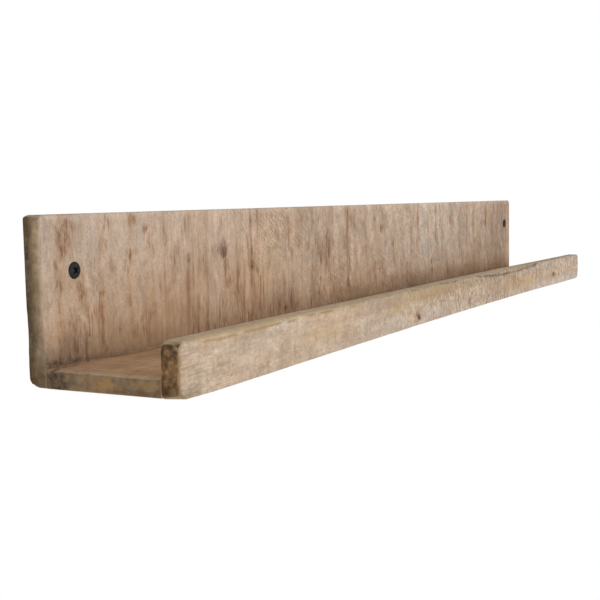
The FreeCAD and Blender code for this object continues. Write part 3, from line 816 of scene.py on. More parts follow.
    # how busy the wood is with short saw lines
    busy = np.interp(X, (0, 95, 130, 160, 215, 235, 250, 300, 325, 340, 372, 380, 400, 415, 425, 465, 480, 526, 612, 634,
                         745, 765, 900),
                     (0.05, 0.05, 0.38, 0.46, 0.40, 0.50, 0.25, 0.15, 0.25, 0.55, 0.50, 0.2, 0.3, 0.38, 0.15, 0.15, 0.3, 0.1,
                      0.08, 0.22, 0.22, 0.62, 0.66))
    busy = busy + 0.28 * smooth(10.0, 14.0, X) * smooth(66.0, 50.0, X) * smooth(48.0, 34.0, up)
    busy = busy * np.where(X < 300.0, 0.6 + 0.4 * smooth(86.0, 66.0, up), 1.0) + 0.15 * smooth(30.0, 55.0, X) * smooth(60.0, 30.0, up)
    busy = busy + 0.3 * noise(571, X / 24.0, up / 30.0) * smooth(60.0, 130.0, X)
    busy = np.clip(busy * (1.0 - 0.7 * smooth(95.0, 98.5, up)), 0.0, 1.0)
    dark = streaks(X, up, stretched([
        (16.3, 90, 76, 0.8, 0.6), (22, 96, 84, 0.9, 0.5), (12, 73, 66, 0.6, 0.7),
        (81, 76, 68, 0.8, 0.9), (97, 89, 84, 1.5, 0.65), (82, 97, 91, 1.6, 0.5),
        (51, 90, 72, 0.8, 0.5, 0.25), (61.5, 71, 61, 0.8, 0.5), (77, 92, 85, 0.6, 0.5),
        (146.3, 70, 61, 1.6, 0.85), (168, 62, 51, 0.9, 0.6), (167.8, 36, 13, 1.1, 0.9),
        (192.4, 65, 52, 0.7, 0.65), (197, 64, 53, 0.7, 0.55), (212.5, 64, 45, 0.9, 0.7),
        (230, 92, 84, 0.7, 0.7), (230, 77, 59, 0.8, 0.6), (230.4, 52, 38, 0.8, 0.75),
        (230, 28, 14, 0.7, 0.6), (289.5, 92, 64, 0.9, 0.5), (291.5, 34, 14, 1.8, 0.65),
        (342.5, 88, 83, 0.8, 0.6), (342.5, 76, 70, 0.8, 0.6), (342.5, 64, 56, 0.8, 0.6),
        (358, 79, 44, 1.3, 0.6), (364, 75, 48, 1.1, 0.6), (385, 66, 58, 0.7, 0.6),
        (399, 98, 22, 0.8, 0.5), (404, 70, 22, 0.7, 0.4), (421, 27, 11, 0.9, 0.6),
        (570, 88, 52, 0.9, 0.4), (624, 96, 58, 0.8, 0.4), (672, 88, 60, 1.0, 0.4),
        (799, 92, 66, 1.2, 0.55), (882, 92, 40, 0.8, 0.5), (331, 92, 72, 1.0, 0.5), (337, 78, 50, 1.2, 0.6),
        (349, 74, 46, 1.4, 0.65), (355, 66, 40, 1.0, 0.5), (418, 66, 38, 1.1, 0.45), (612, 42, 20, 2.2, 0.7)]), 600)
    brown = either(brown, blobs(X, up, [(28, 22, 2.5, 3.5, 0.5), (52, 20, 2.4, 3.0, 0.4)], 565, 0.7))
    over = up - SHELF_T + np.maximum(joint_drop(X), 0.0)
    # dark residue at the left end, a dark line along the shelf joint, and painted shade in the last few mm over the
    # joint
    dirt = either(blobs(X, up, [(5, 12.9, 9, 2.4, 0.9), (1.5, 13.8, 3, 2.6, 0.7), (12.5, 15.5, 1.6, 3.6, 0.8),
                                (13, 12.2, 5, 1.8, 0.8), (27, 12.4, 11, 1.6, 0.6), (44, 12.3, 10, 1.4, 0.35)], 567, 0.8),
                  0.55 * np.exp(-((over - 0.4) / 0.9) ** 2) * smooth(14.0, 30.0, X) * (0.75 + 0.4 * noise(568, X / 8.0)),
                  0.22 * smooth(4.5, 0.0, over) * smooth(20.0, 40.0, X))
    dark = either(dark, blobs(X, up, [
        (32, 49.4, 1.5, 1.6, 0.8), (146.5, 65, 2.2, 4, 0.6), (191.5, 67.5, 3.6, 4.5, 0.95),
        (190, 69, 7.0, 5.0, 0.55), (232, 56, 4.2, 3.6, 0.75), (328, 19.5, 2.0, 6.0, 1.0),
        (272, 20, 4, 7, 0.5), (386.5, 14, 1.8, 2.5, 0.75), (401, 29, 2.0, 4, 0.7),
        (461, 84, 2.2, 3, 0.6), (476, 75, 2.6, 4.0, 0.6), (542, 38, 2.5, 3, 0.5),
        # the patch at 876, 70 round the right wall screw's head is a painted shadow
        (361, 62, 5.0, 12, 0.45), (876, 70, 7, 6, 0.35), (282, 18, 3.4, 1.8, 0.6)], 640))
    cool = blobs(X, up, [
        (20, 26, 3.0, 5.0, 0.75), (93, 49, 5.0, 1.4, 0.7), (120, 45, 2.6, 2.4, 0.6),
        (128, 57, 4.0, 4.0, 0.5), (176, 44, 5.0, 7.0, 0.75), (191, 68, 7, 8, 0.55),
        (277, 73, 4.0, 3.0, 0.6), (272, 20, 6, 9, 0.6), (326, 70, 9, 4.0, 0.35, 25),
        (213, 82, 15, 14, 0.3), (617, 40, 4.5, 6, 0.75), (361, 62, 9, 18, 0.45),
        (231, 56, 9, 7, 0.4), (700, 70, 40, 24, 0.15), (840, 60, 36, 26, 0.3),
        (520, 60, 40, 24, 0.1)], 660)
    ochre = blobs(X, up, [
        (31, 55, 4.2, 2.8, 0.7), (71.5, 83, 2.6, 3.0, 0.6), (145.5, 42, 3.0, 18, 0.5),
        (192.5, 46, 5.0, 4.5, 0.55), (8, 12.6, 9, 1.5, 0.6), (258, 40, 8, 10, 0.25),
        (110, 16, 30, 6, 0.25), (505, 224, 3, 3, 0.0)], 670)
    # pale streaks in the wood; the pale band along the top edge is a painted highlight, and the pale strip on the front
    # face at the left end is a painted highlight on that arris
    pale = either(streaks(X, up, [
        (44.5, 62, 12, 2.4, 0.55), (28, 98, 8, 6.0, 0.5), (40, 98, 40, 4.5, 0.45),
        (68, 98, 6, 6.0, 0.4), (91, 96, 30, 5.0, 0.3), (6, 92, 6, 4.0, 0.4),
        (10, 53, 14, 2.4, 0.5), (114, 56, 17, 3.0, 0.65), (162.5, 57, 13, 2.6, 0.7),
        (213, 97, 66, 13.0, 0.5), (343, 64, 32, 14.0, 0.35), (176, 40, 10, 3.2, 0.25),
        (244, 96, 30, 5.0, 0.35), (305, 96, 50, 5.0, 0.3), (322, 98, 40, 4.0, 0.25),
        (378, 98, 40, 5.0, 0.35), (428, 96, 30, 6.0, 0.4), (492, 92, 30, 6.0, 0.35),
        (585, 92, 40, 6.0, 0.3), (656, 92, 40, 5.0, 0.3), (740, 92, 40, 6.0, 0.25)], 680, 2.0),
        0.45 * smooth(93.5, 96.0, up + 0.6 * noise(575, X / 14.0)),
        0.85 * smooth(3.0 + 0.8 * noise(576, up / 9.0), 0.8, X) * smooth(8.0, 16.0, up) * (0.45 + 0.55 * smooth(45.0, 60.0, up)))
    places, at, k = [13.0, 48.0, 80.0, 96.0, 117.0, 125.0, 143.0, 151.0, 158.0, 166.0], 166.0, 0
    while at < 890.0:
        at += 13.0 + 7.0 * float(lattice_value(577, np.array([float(k)]))[0])
        places.append(at)
        k += 1
    steps = saw_steps(X, up, places, 579)
    value = 1.0 - 0.8 * (1.0 - steps)
    value = value * (1.0 + 0.05 * noise(581, X / 45.0, up / 35.0) + 0.035 * noise(583, X / 7.0, up / 14.0))
    for px, pz, rx, rz, amount in ((8, 84, 26, 34, -0.10), (30, 92, 26, 18, -0.13), (200, 34, 110, 30, 0.07),
                                   (250, 40, 40, 36, 0.06), (400, 36, 70, 26, 0.05), (2, 8, 12, 14, -0.10), (186, 78, 26, 30, 0.05),
                                   (290, 60, 50, 60, -0.06), (320, 84, 26, 22, -0.05), (465, 78, 42, 46, -0.13),
                                   (420, 90, 18, 20, -0.05), (555, 60, 44, 60, 0.04), (650, 60, 44, 60, 0.05),
                                   (752, 60, 44, 60, -0.08), (860, 60, 60, 70, -0.20),
                                   (560, 18, 60, 18, -0.12), (720, 22, 80, 20, -0.09), (262, 20, 50, 16, -0.06),
                                   (440, 62, 26, 40, 0.05), (110, 36, 24, 24, 0.04), (38, 32, 12, 12, 0.05),
                                   (10, 38, 14, 20, -0.08), (300, 44, 40, 10, 0.06), (740, 44, 36, 12, 0.06),
                                   (500, 31, 36, 8, 0.06), (75, 20, 24, 8, -0.06), (640, 20, 60, 8, -0.03)):
        value = value * (1.0 + amount * np.exp(-((X - px) / rx) ** 2 - ((up - pz) / rz) ** 2))
    fibre = either(smooth(195.0, 212.0, X) * smooth(345.0, 300.0, X) * smooth(48.0, 66.0, up),
                   smooth(325.0, 345.0, X) * smooth(430.0, 400.0, X) * smooth(72.0, 50.0, up),
                   0.8 * smooth(440.0, 500.0, X) * smooth(700.0, 640.0, X))
    fibre = fibre * smooth(-0.5, 0.3, noise(585, X / 16.0, up / 12.0))
    # browner and darker towards the shelf joint: partly staining of the wood, partly painted shade of the corner under
    # the lip
    h = up + 5.0 * noise(587, X / 30.0) + 2.0 * noise(589, X / 8.0)
    stain = 0.70 * smooth(85.0, 30.0, h) + 0.45 * smooth(36.0, 12.0, h)
    stain = stain + 4.0 * np.clip(1.0 - steps, 0.0, 0.14)
    stain = stain * (1.0 - 0.45 * smooth(215.0, 300.0, X) - 0.35 * smooth(430.0, 540.0, X))
    stain = np.clip(stain + 0.5 * np.exp(-((X - 262.0) / 45.0) ** 2 - ((up - 76.0) / 26.0) ** 2), 0.0, 1.15)
    stain = stain + 0.25 * smooth(32.0, 20.0, up) * smooth(90.0, 130.0, X) + 0.12 * smooth(500.0, 560.0, X) * smooth(32.0, 20.0, up)
    # painted shade, partly grime: darker still in the lowest 30 mm over the shelf
    foot_grime_and_shade = smooth(30.0, 12.0, h)
    value = value * (1.0 - foot_grime_and_shade * (0.26 * smooth(60.0, 20.0, X) + 0.04 + 0.16 * smooth(310.0, 400.0, X)))
    value = value * (1.0 - 0.07 * np.exp(-((X - 560.0) / 45.0) ** 2) * smooth(50.0, 20.0, up))
    # the left end: painted shade, darker towards the wall and towards the bottom, with a painted highlight towards its
    # front edge
    left = smooth(0.7, 0.98, -n[:, 0])
    yy = -y + 0.8 * noise(591, up / 15.0) + 0.4 * noise(592, up / 4.0)
    value = np.where(left > 0.5, (0.55 + 0.68 * smooth(2.2, 10.2, yy) * (0.55 + 0.45 * smooth(8.0, 45.0, up)))
                     + 0.10 * noise(593, y / 4.0, up / 9.0) + 0.06 * noise(594, y / 1.5, up / 3.0)
                     - 0.16 * smooth(1.3, 0.3, -y), value)
    ochre = np.maximum(np.maximum(ochre, 0.42 * smooth(40.0, 12.0, h) * smooth(20.0, 60.0, X)) * front, left * blobs(-y, up, [(4.5, 7.5, 4.0, 5.5, 0.8), (7, 60, 3, 7, 0.25), (3, 90, 3, 5, 0.3)], 675))
    end_dark = left * blobs(-y, up, [(10.5, 93, 2.6, 3.2, 0.45), (2.0, 50, 2.0, 10, 0.35), (6.0, 28, 3.0, 6, 0.3),
                                     (9.0, 71, 2.4, 4.0, 0.3), (2.0, 75, 2.0, 6, 0.3)], 645, 0.7)
    # painted shade: the end is browner towards the wall and the bottom
    end_shade_brown = left * np.clip(0.62 * smooth(8.0, 3.0, yy) + 0.35 * smooth(14.0, 3.0, up), 0.0, 0.8)
    figure = smooth(225.0, 330.0, X) * front
    gold = front * np.clip(0.9 * np.exp(-((X - 275.0) / 45.0) ** 2 - ((up - 62.0) / 30.0) ** 2) + 0.6 * np.exp(-((X - 205.0) / 26.0) ** 2 - ((up - 34.0) / 22.0) ** 2)
                           + 0.45 * noise(597, X / 26.0, up / 22.0) - 0.1, 0.0, 1.0)
    # painted shade on the left end: lighter high up, darker low down and at the wall side
    value = value * (1.0 + 0.07 * left * smooth(50.0, 70.0, up)) * (1.0 - 0.06 * left * smooth(52.0, 36.0, up))
    value = value * (1.0 - 0.32 * left * smooth(24.0, 8.0, up) * smooth(5.0, 9.0, yy) - 0.05 * left * smooth(6.0, 3.0, yy))
    # painted highlight towards the front edge of the end
    end_highlight = left * smooth(8.8, 11.8, yy) * (0.35 + 0.65 * smooth(30.0, 50.0, up))
    pale = np.maximum(pale * front, end_highlight)
    return {"brown": np.maximum(brown * front, end_shade_brown), "dark": np.maximum(dark * front, end_dark), "cool": cool * front,
            "figure": figure, "gold": gold, "ashen": front * np.clip(0.7 * smooth(530.0, 580.0, X) * smooth(720.0, 680.0, X) * smooth(22.0, 60.0, up)
                                       + 0.3 * smooth(430.0, 520.0, X) * smooth(22.0, 36.0, up) * smooth(74.0, 60.0, up), 0.0, 1.0),
            "lacy": front * smooth(120.0, 85.0, X + 8.0 * noise(599, up / 20.0)), "far": smooth(300.0, 620.0, X),
            "granular": front * np.clip(0.3 + 0.15 * smooth(85.0, 120.0, X) + 0.5 * smooth(200.0, 300.0, X) + 0.3 * noise(595, X / 30.0, up / 20.0), 0.0, 1.0),
            "pale": pale, "ochre": ochre, "dirt": dirt * front, "fibre": fibre * front, "busy": busy * front, "tone": tone(value),
            "stain": stain * front, "end": smooth(0.7, 0.98, np.abs(n[:, 0])), "rim": rims(n)}


def marks_shelf(b):
    n = b.normals()[b.used]
    c = b.pos[b.used]
    x, y, z = c[:, 0], c[:, 1], c[:, 2]
    X, up = x + HALF, z - Z0
    gap = -BACK_T - y
    end = smooth(0.7, 0.98, np.abs(n[:, 0]))
    left = (x < 0) * end
    top = smooth(0.45, 0.85, n[:, 2])
    # painted shade: the top darkens along the back board, most towards the left end; dark blotches on the left end
    reach = 1.2 + 3.6 * smooth(85.0, 5.0, X) + 1.3 * noise(131, x / 6.0) + 0.5 * noise(133, x / 1.9)
    dark = top * smooth(1.5, 0.5, gap / np.maximum(reach, 0.5)) * (0.4 + 0.6 * smooth(150.0, 30.0, X))
    back = -y
    dark = np.maximum(dark, left * np.maximum(
        either(blobs(back, up, [(19, 5.4, 7.5, 4.6, 0.95), (15.0, 7.5, 3.4, 3.2, 0.9), (24, 3.4, 3.4, 3.2, 0.7)], 700, 0.6),
               0.75 * smooth(21.0, 15.0, back + 1.5 * noise(134, up / 3.0))),
        0.5 * smooth(1.0, 0.2, up + 0.5 * noise(135, y / 3.0)) * (0.4 + 0.4 * noise(136, y / 8.0))))
    # brown over the top, deeper within about 16 mm of the back board as painted shade of the inner corner; blotches on
    # the left end
    brown = either(top * (0.25 + 0.35 * smooth(16.0, 3.0, gap) * smooth(420.0, 60.0, X)
                          + 0.15 * noise(571, X / 12.0, gap / 30.0)),
                   left * (0.15 + blobs(back, up, [(20, 5.5, 9, 6, 0.7), (60, 1.2, 16, 1.5, 0.4), (78, 1.6, 18, 2.8, 1.0), (84, 1.0, 10, 2.6, 0.9)], 710)))
    ochre = left * blobs(back, up, [(53, 5.0, 7.5, 4.4, 1.0), (82, 6.8, 9, 3.0, 0.7), (38, 8.5, 4, 2.5, 0.4), (47, 2.5, 4, 1.6, 0.6)], 720)
    cool = left * blobs(back, up, [(66, 7.0, 5.5, 3.6, 0.5), (31, 5.0, 5.0, 4.0, 0.35)], 730)
    # painted highlight along the left end's upper arris, on the top and on the end
    pale = np.maximum(top * smooth(5.0, 1.0, X + 1.2 * noise(137, y / 5.0)) * 0.6,
                      left * smooth(10.0, 11.2, up + 0.5 * noise(138, y / 4.0)) * 0.45)
    value = 1.0 + 0.06 * noise(139, X / 25.0, y / 25.0) + 0.05 * noise(140, X / 30.0, y / 2.6)
    # painted shade: the top is darker within about 30 mm of the back board
    value = value * (1.0 - 0.04 * left) * (1.0 + top * (0.16 * smooth(24.0, 40.0, gap) + 0.06 * smooth(2.0, 8.0, gap) * smooth(26.0, 12.0, gap)))
    return {"brown": brown, "dark": dark, "cool": cool, "pale": pale, "ochre": ochre, "end": end,
            "tone": tone(value), "rim": rims(n), "front": top}


def marks_lip(b):
    n = b.normals()[b.used]
    c = b.pos[b.used]
    x, y, z = c[:, 0], c[:, 1], c[:, 2]
    X = x + HALF
    up = z - Z0 - bow(X, z - Z0)
    front = smooth(-0.35, -0.75, n[:, 1])
    end = smooth(0.55, 0.93, np.abs(n[:, 0]))
    left = (x < 0) * end
    top = smooth(0.35, 0.8, n[:, 2])
    arris = smooth(0.25, 0.6, n[:, 2]) * smooth(-0.15, -0.5, n[:, 1])
    over = up - wane_line(X)
    band = smooth(476.0, 496.0, X) * smooth(716.0, 694.0, X)
    line = np.exp(-((over + 0.1) / 0.95) ** 2) * band * (0.85 + 0.3 * noise(141, X / 7.0))
    wane = smooth(-0.6, 0.6, over) * band * (front + top * smooth(-97.0, -101.0, y))
    dark = np.maximum(front, arris * (X > 560.0)) * either(line * 0.95, blobs(X, up, [
        (343.5, 6.6, 4.4, 3.0, 1.0), (341, 9.5, 3.0, 2.0, 0.7), (690, 26.5, 3.0, 2.2, 1.0), (694, 28.0, 4.5, 1.6, 0.8),
        (775, 12.6, 5.5, 3.0, 1.0), (700, 17.0, 2.2, 7.0, 0.5), (471, 7.0, 4.0, 4.5, 0.5), (640, 27.0, 12, 1.4, 0.4), (560, 26.5, 14, 1.4, 0.35)], 740, 0.3))
    crack = arris * smooth(165.0, 185.0, X) * smooth(484.0, 472.0, X) * smooth(-0.25, 0.35, noise(143, X / 12.0) + 0.35)
    crack *= np.exp(-((up - 28.7 - 0.5 * noise(144, X / 25.0)) / 0.55) ** 2)
    dark = np.maximum(dark, crack * (0.35 + 0.45 * smooth(300.0, 360.0, X)))
    yy = -y - (DEPTH - LIP_T)
    # a dark curved tear near the top of the left end
    curve = np.interp(up, (20.0, 24.0, 27.0, 28.5), (1.0, 1.1, 1.6, 3.0))
    arc = np.exp(-((yy - curve) / 0.8) ** 2) * smooth(19.5, 21.5, up) * smooth(29.2, 28.2, up)
    arc = np.maximum(arc, np.exp(-((up - 28.2 + 0.5 * (yy - 3.0)) / 0.9) ** 2) * smooth(1.5, 2.6, yy) * smooth(6.8, 5.0, yy))
    dark = np.maximum(dark, left * either(1.0 * arc, blobs(yy, up, [
        (9.0, 25.0, 1.6, 3.2, 0.8), (8.2, 22.0, 1.3, 1.8, 0.7), (6.9, 13.5, 1.5, 1.5, 0.8), (4.5, 27.2, 2.6, 1.4, 0.8),
        (3.2, 17.8, 2.6, 1.8, 0.7), (1.0, 12.5, 1.2, 2.2, 0.5), (4.0, 7.0, 2.2, 2.0, 0.35), (3.0, 2.5, 3.4, 1.8, 0.5)], 750, 0.6)))
    wide = worn_arris(X)
    rim_line = np.exp(-((up - 27.7 + 1.2 * wide - 0.5 * noise(159, X / 14.0)) / 0.75) ** 2) * smooth(0.3, -0.3, n[:, 1])
    rim_line = rim_line * smooth(12.0, 30.0, X) * smooth(250.0, 200.0, X) * smooth(-0.5, 0.4, noise(161, X / 9.0) + 0.5 * smooth(60.0, 90.0, X) * smooth(140.0, 120.0, X))
    brown = either(
        front * blobs(X, up, [(338, 6.6, 10, 4.0, 0.9), (772, 11, 16, 4.2, 0.7), (610, 18, 30, 7, 0.25),
                              (545, 16, 40, 8, 0.25), (87, 4.5, 6, 2.2, 0.6), (420, 16, 40, 7, 0.2),
                              (718, 15, 16, 9, 0.3), (845, 12, 30, 8, 0.25), (39, 14, 1.6, 2.4, 0.5),
                              (49.5, 13, 2.2, 3.0, 0.35)], 760),
        front * streaks(X, up, [(505, 27, 3, 3.0, 0.4), (528, 26, 3, 2.4, 0.35), (552, 24, 3, 3.6, 0.45),
                                (583, 24, 3, 3.4, 0.7), (612, 24, 3, 3.4, 0.8), (632, 22, 8, 2.4, 0.5),
                                (648, 25, 3, 3.6, 0.6), (668, 24, 6, 2.6, 0.5),
                                (684, 25, 3, 3.4, 0.7), (700, 22, 2, 2.4, 0.8), (712, 27, 3, 3.4, 0.5), (745, 27, 3, 2.6, 0.3),
                                (795, 24, 3, 2.4, 0.3), (812, 27, 3, 3.0, 0.35), (858, 25, 4, 2.6, 0.3), (110, 15, 4, 1.6, 0.45),
                                (143, 13, 5, 1.6, 0.8), (27, 26, 20, 2.6, 0.6), (158, 17, 3, 1.2, 0.6), (186, 14, 4, 1.8, 0.6), (113, 16, 4, 1.8, 0.9),
                                (51, 27, 6, 1.2, 0.45), (34, 18, 6, 1.2, 0.4), (43, 16, 5, 1.6, 0.45), (94, 10, 1, 2.2, 0.6), (128, 14, 5, 1.2, 0.5),
                                (205, 27, 3, 4.0, 0.25), (238, 12, 3, 2.0, 0.4), (270, 27, 3, 3.0, 0.25), (372, 27, 3, 3.2, 0.25),
                                (455, 27, 3, 3.4, 0.3), (470, 11, 2, 4.4, 0.8)], 770),
        front * np.clip(0.12 + 0.16 * noise(147, X / 30.0, up / 4.0) + 0.08 * noise(149, X / 7.0, up / 20.0)
                        + 0.12 * smooth(480.0, 560.0, X), 0.0, 0.5),
        left * (0.2 + blobs(yy, up, [(3.5, 17.8, 3.4, 2.4, 0.6), (2.0, 5.5, 2.6, 4.5, 0.6), (9.0, 24, 2.0, 4.0, 0.5)], 780)),
        0.12 * top)
    ochre = either(
        arris * smooth(4.0, 14.0, X) * smooth(215.0, 180.0, X) * (0.6 + 0.3 * noise(145, X / 9.0)),
        front * blobs(X, up, [(225, 25, 22, 3.2, 0.25), (310, 24, 34, 5.0, 0.5), (385, 23, 40, 6.5, 0.55),
                              (452, 24, 28, 5.0, 0.5), (766, 9.5, 15, 4.4, 0.7), (350, 23.5, 40, 5.0, 0.9),
              (400, 24.5, 34, 4.0, 0.8), (300, 17.0, 24, 5.0, 0.5), (330, 8.0, 14, 6.0, 0.6), (600, 13, 60, 8, 0.35), (680, 12, 26, 8, 0.5),
                              (26, 26, 5, 2.4, 0.5), (180, 15, 34, 6.0, 0.4), (101, 27.2, 3.5, 1.2, 0.8), (640, 13, 44, 9, 0.6), (868, 16, 14, 8, 0.2)], 790),
        left * (smooth(9.6, 11.0, yy) * 0.6 + smooth(6.5, 4.0, up) * smooth(3.0, 6.0, yy) * 0.5))
    pale = front * blobs(X, up, [(300, 9, 22, 4.0, 0.8), (372, 9.5, 22, 4.0, 0.8), (415, 13, 20, 4.0, 0.8), (440, 20, 16, 2.0, 0.8),
                                 (520, 10, 18, 4.0, 0.7), (548, 21, 12, 2.4, 0.7), (574, 16, 9, 5.0, 0.7), (728, 12, 12, 8, 0.7),
                                 (238, 15, 18, 3.4, 0.6), (258, 9, 14, 2.4, 0.4), (497, 16.5, 12, 3.2, 0.6),
                                 (478, 12, 10, 2.2, 0.4), (706, 24.5, 4.5, 3.4, 0.7), (112, 25.5, 20, 3.0, 0.9), (66, 14, 16, 6, 0.3),
                                 (90, 17, 40, 5, 0.25), (830, 18, 26, 6, 0.45), (880, 10, 14, 5, 0.4),
                                 (655, 14, 20, 4, 0.25)], 800)
    chip = np.exp(-((X - 1.5) / 1.7) ** 2 - ((up - 28.2) / 1.5) ** 2) * (y < -99.0)
    pale = np.maximum(pale, 0.85 * chip)
    cool = np.maximum(0.12 * wane, front * blobs(X, up, [
        (776, 12.2, 6.5, 2.8, 0.9), (70, 20, 20, 5, 0.25), (128, 10, 18, 4, 0.25), (290, 12, 26, 5, 0.25),
        (400, 8, 30, 4, 0.25)], 810, 0.25))
    value = 1.0 + 0.05 * noise(151, X / 40.0, up / 12.0) + 0.045 * noise(153, X / 6.0, up / 22.0)
    value = value * (1.0 - 0.13 * front * smooth(18.0, 22.0, up) * smooth(180.0, 250.0, X) * (1.0 - 0.45 * smooth(580.0, 640.0, X) - 0.5 * smooth(690.0, 730.0, X)))
    value = value * (1.0 - 0.07 * front * smooth(18.0, 22.0, up) * np.exp(-((X - 420.0) / 60.0) ** 2))
    value = value * (1.0 - front * (0.07 * np.exp(-((X - 750.0) / 50.0) ** 2) * smooth(18.0, 22.0, up) + 0.07 * np.exp(-((X - 550.0) / 45.0) ** 2) * smooth(22.0, 19.0, up)
                                    + 0.06 * np.exp(-((X - 250.0) / 45.0) ** 2 - ((up - 14.5) / 5.0) ** 2) + 0.05 * np.exp(-((X - 70.0) / 45.0) ** 2) * smooth(10.0, 6.0, up)
                                    + 0.04 * np.exp(-((X - 420.0) / 45.0) ** 2) * smooth(10.0, 6.0, up)))
    # painted shade: the front darkens at its lower left corner, where the rounding turns under
    value = value * (1.0 - 0.22 * front * smooth(34.0, 14.0, X) * smooth(10.0, 4.0, up))
    value = value * (1.0 + 0.05 * front * smooth(580.0, 640.0, X) * smooth(10.0, 5.0, up))
    value = value * (1.0 - 0.05 * front * smooth(360.0, 420.0, X) * smooth(760.0, 600.0, X) * smooth(24.0, 18.0, up))
    value = value * np.where(left > 0.5, 0.93 - 0.44 * smooth(9.0, 2.0, up) - 0.34 * smooth(23.0, 28.0, up) + 0.28 * np.exp(-((up - 15.0) / 6.0) ** 2) + 0.28 * np.exp(-((yy - 4.6) / 2.2) ** 2 - ((up - 24.5) / 2.4) ** 2)
                             + 0.12 * noise(155, yy / 2.0, up / 3.0), 1.0)
    topside = smooth(0.18 - 0.14 * wide, 0.55 - 0.3 * wide, n[:, 2]) * (1.0 - 0.35 * smooth(560.0, 680.0, X))
    return {"brown": brown, "dark": dark, "cool": cool, "pale": pale, "ochre": ochre, "end": end,
            "tone": tone(value), "rim": rims(n), "topside": topside, "edge_line": rim_line,
            "cracked": front * np.clip(0.1 + 0.45 * smooth(110.0, 30.0, X) + 0.5 * noise(163, X / 25.0, up / 9.0), 0.0, 1.0),
            "specked": front * np.clip(0.12 + 0.28 * smooth(60.0, 120.0, X) + 0.4 * smooth(220.0, 340.0, X) + 0.5 * noise(165, X / 22.0, up / 8.0), 0.0, 1.0),
            "far": smooth(150.0, 450.0, X),
            "tan": front * np.clip(smooth(450.0, 520.0, X) * smooth(720.0, 690.0, X) + 0.7 * smooth(148.0, 170.0, X) * smooth(260.0, 225.0, X) * smooth(6.0, 12.0, up)
                                   + 0.5 * noise(169, X / 30.0, up / 12.0), 0.0, 1.0),
            "ash": front * np.clip(0.5 * smooth(600.0, 660.0, X) * smooth(16.0, 20.0, up) + (0.35 * smooth(180.0, 240.0, X) + 0.25 * smooth(560.0, 610.0, X) + 0.4 * smooth(630.0, 690.0, X)) * smooth(13.0, 7.0, up), 0.0, 1.0),
            "olive": (x < 0) * smooth(0.12, 0.45, np.abs(n[:, 0])) * smooth(0.97, 0.80, np.abs(n[:, 0]))
                     * smooth(0.3, -0.2, n[:, 1]) * (0.75 + 0.35 * noise(167, up / 3.0)),
            "banded": front * np.clip(0.1 + 0.7 * smooth(470.0, 540.0, X) + 0.5 * noise(157, X / 40.0), 0.0, 1.0)}


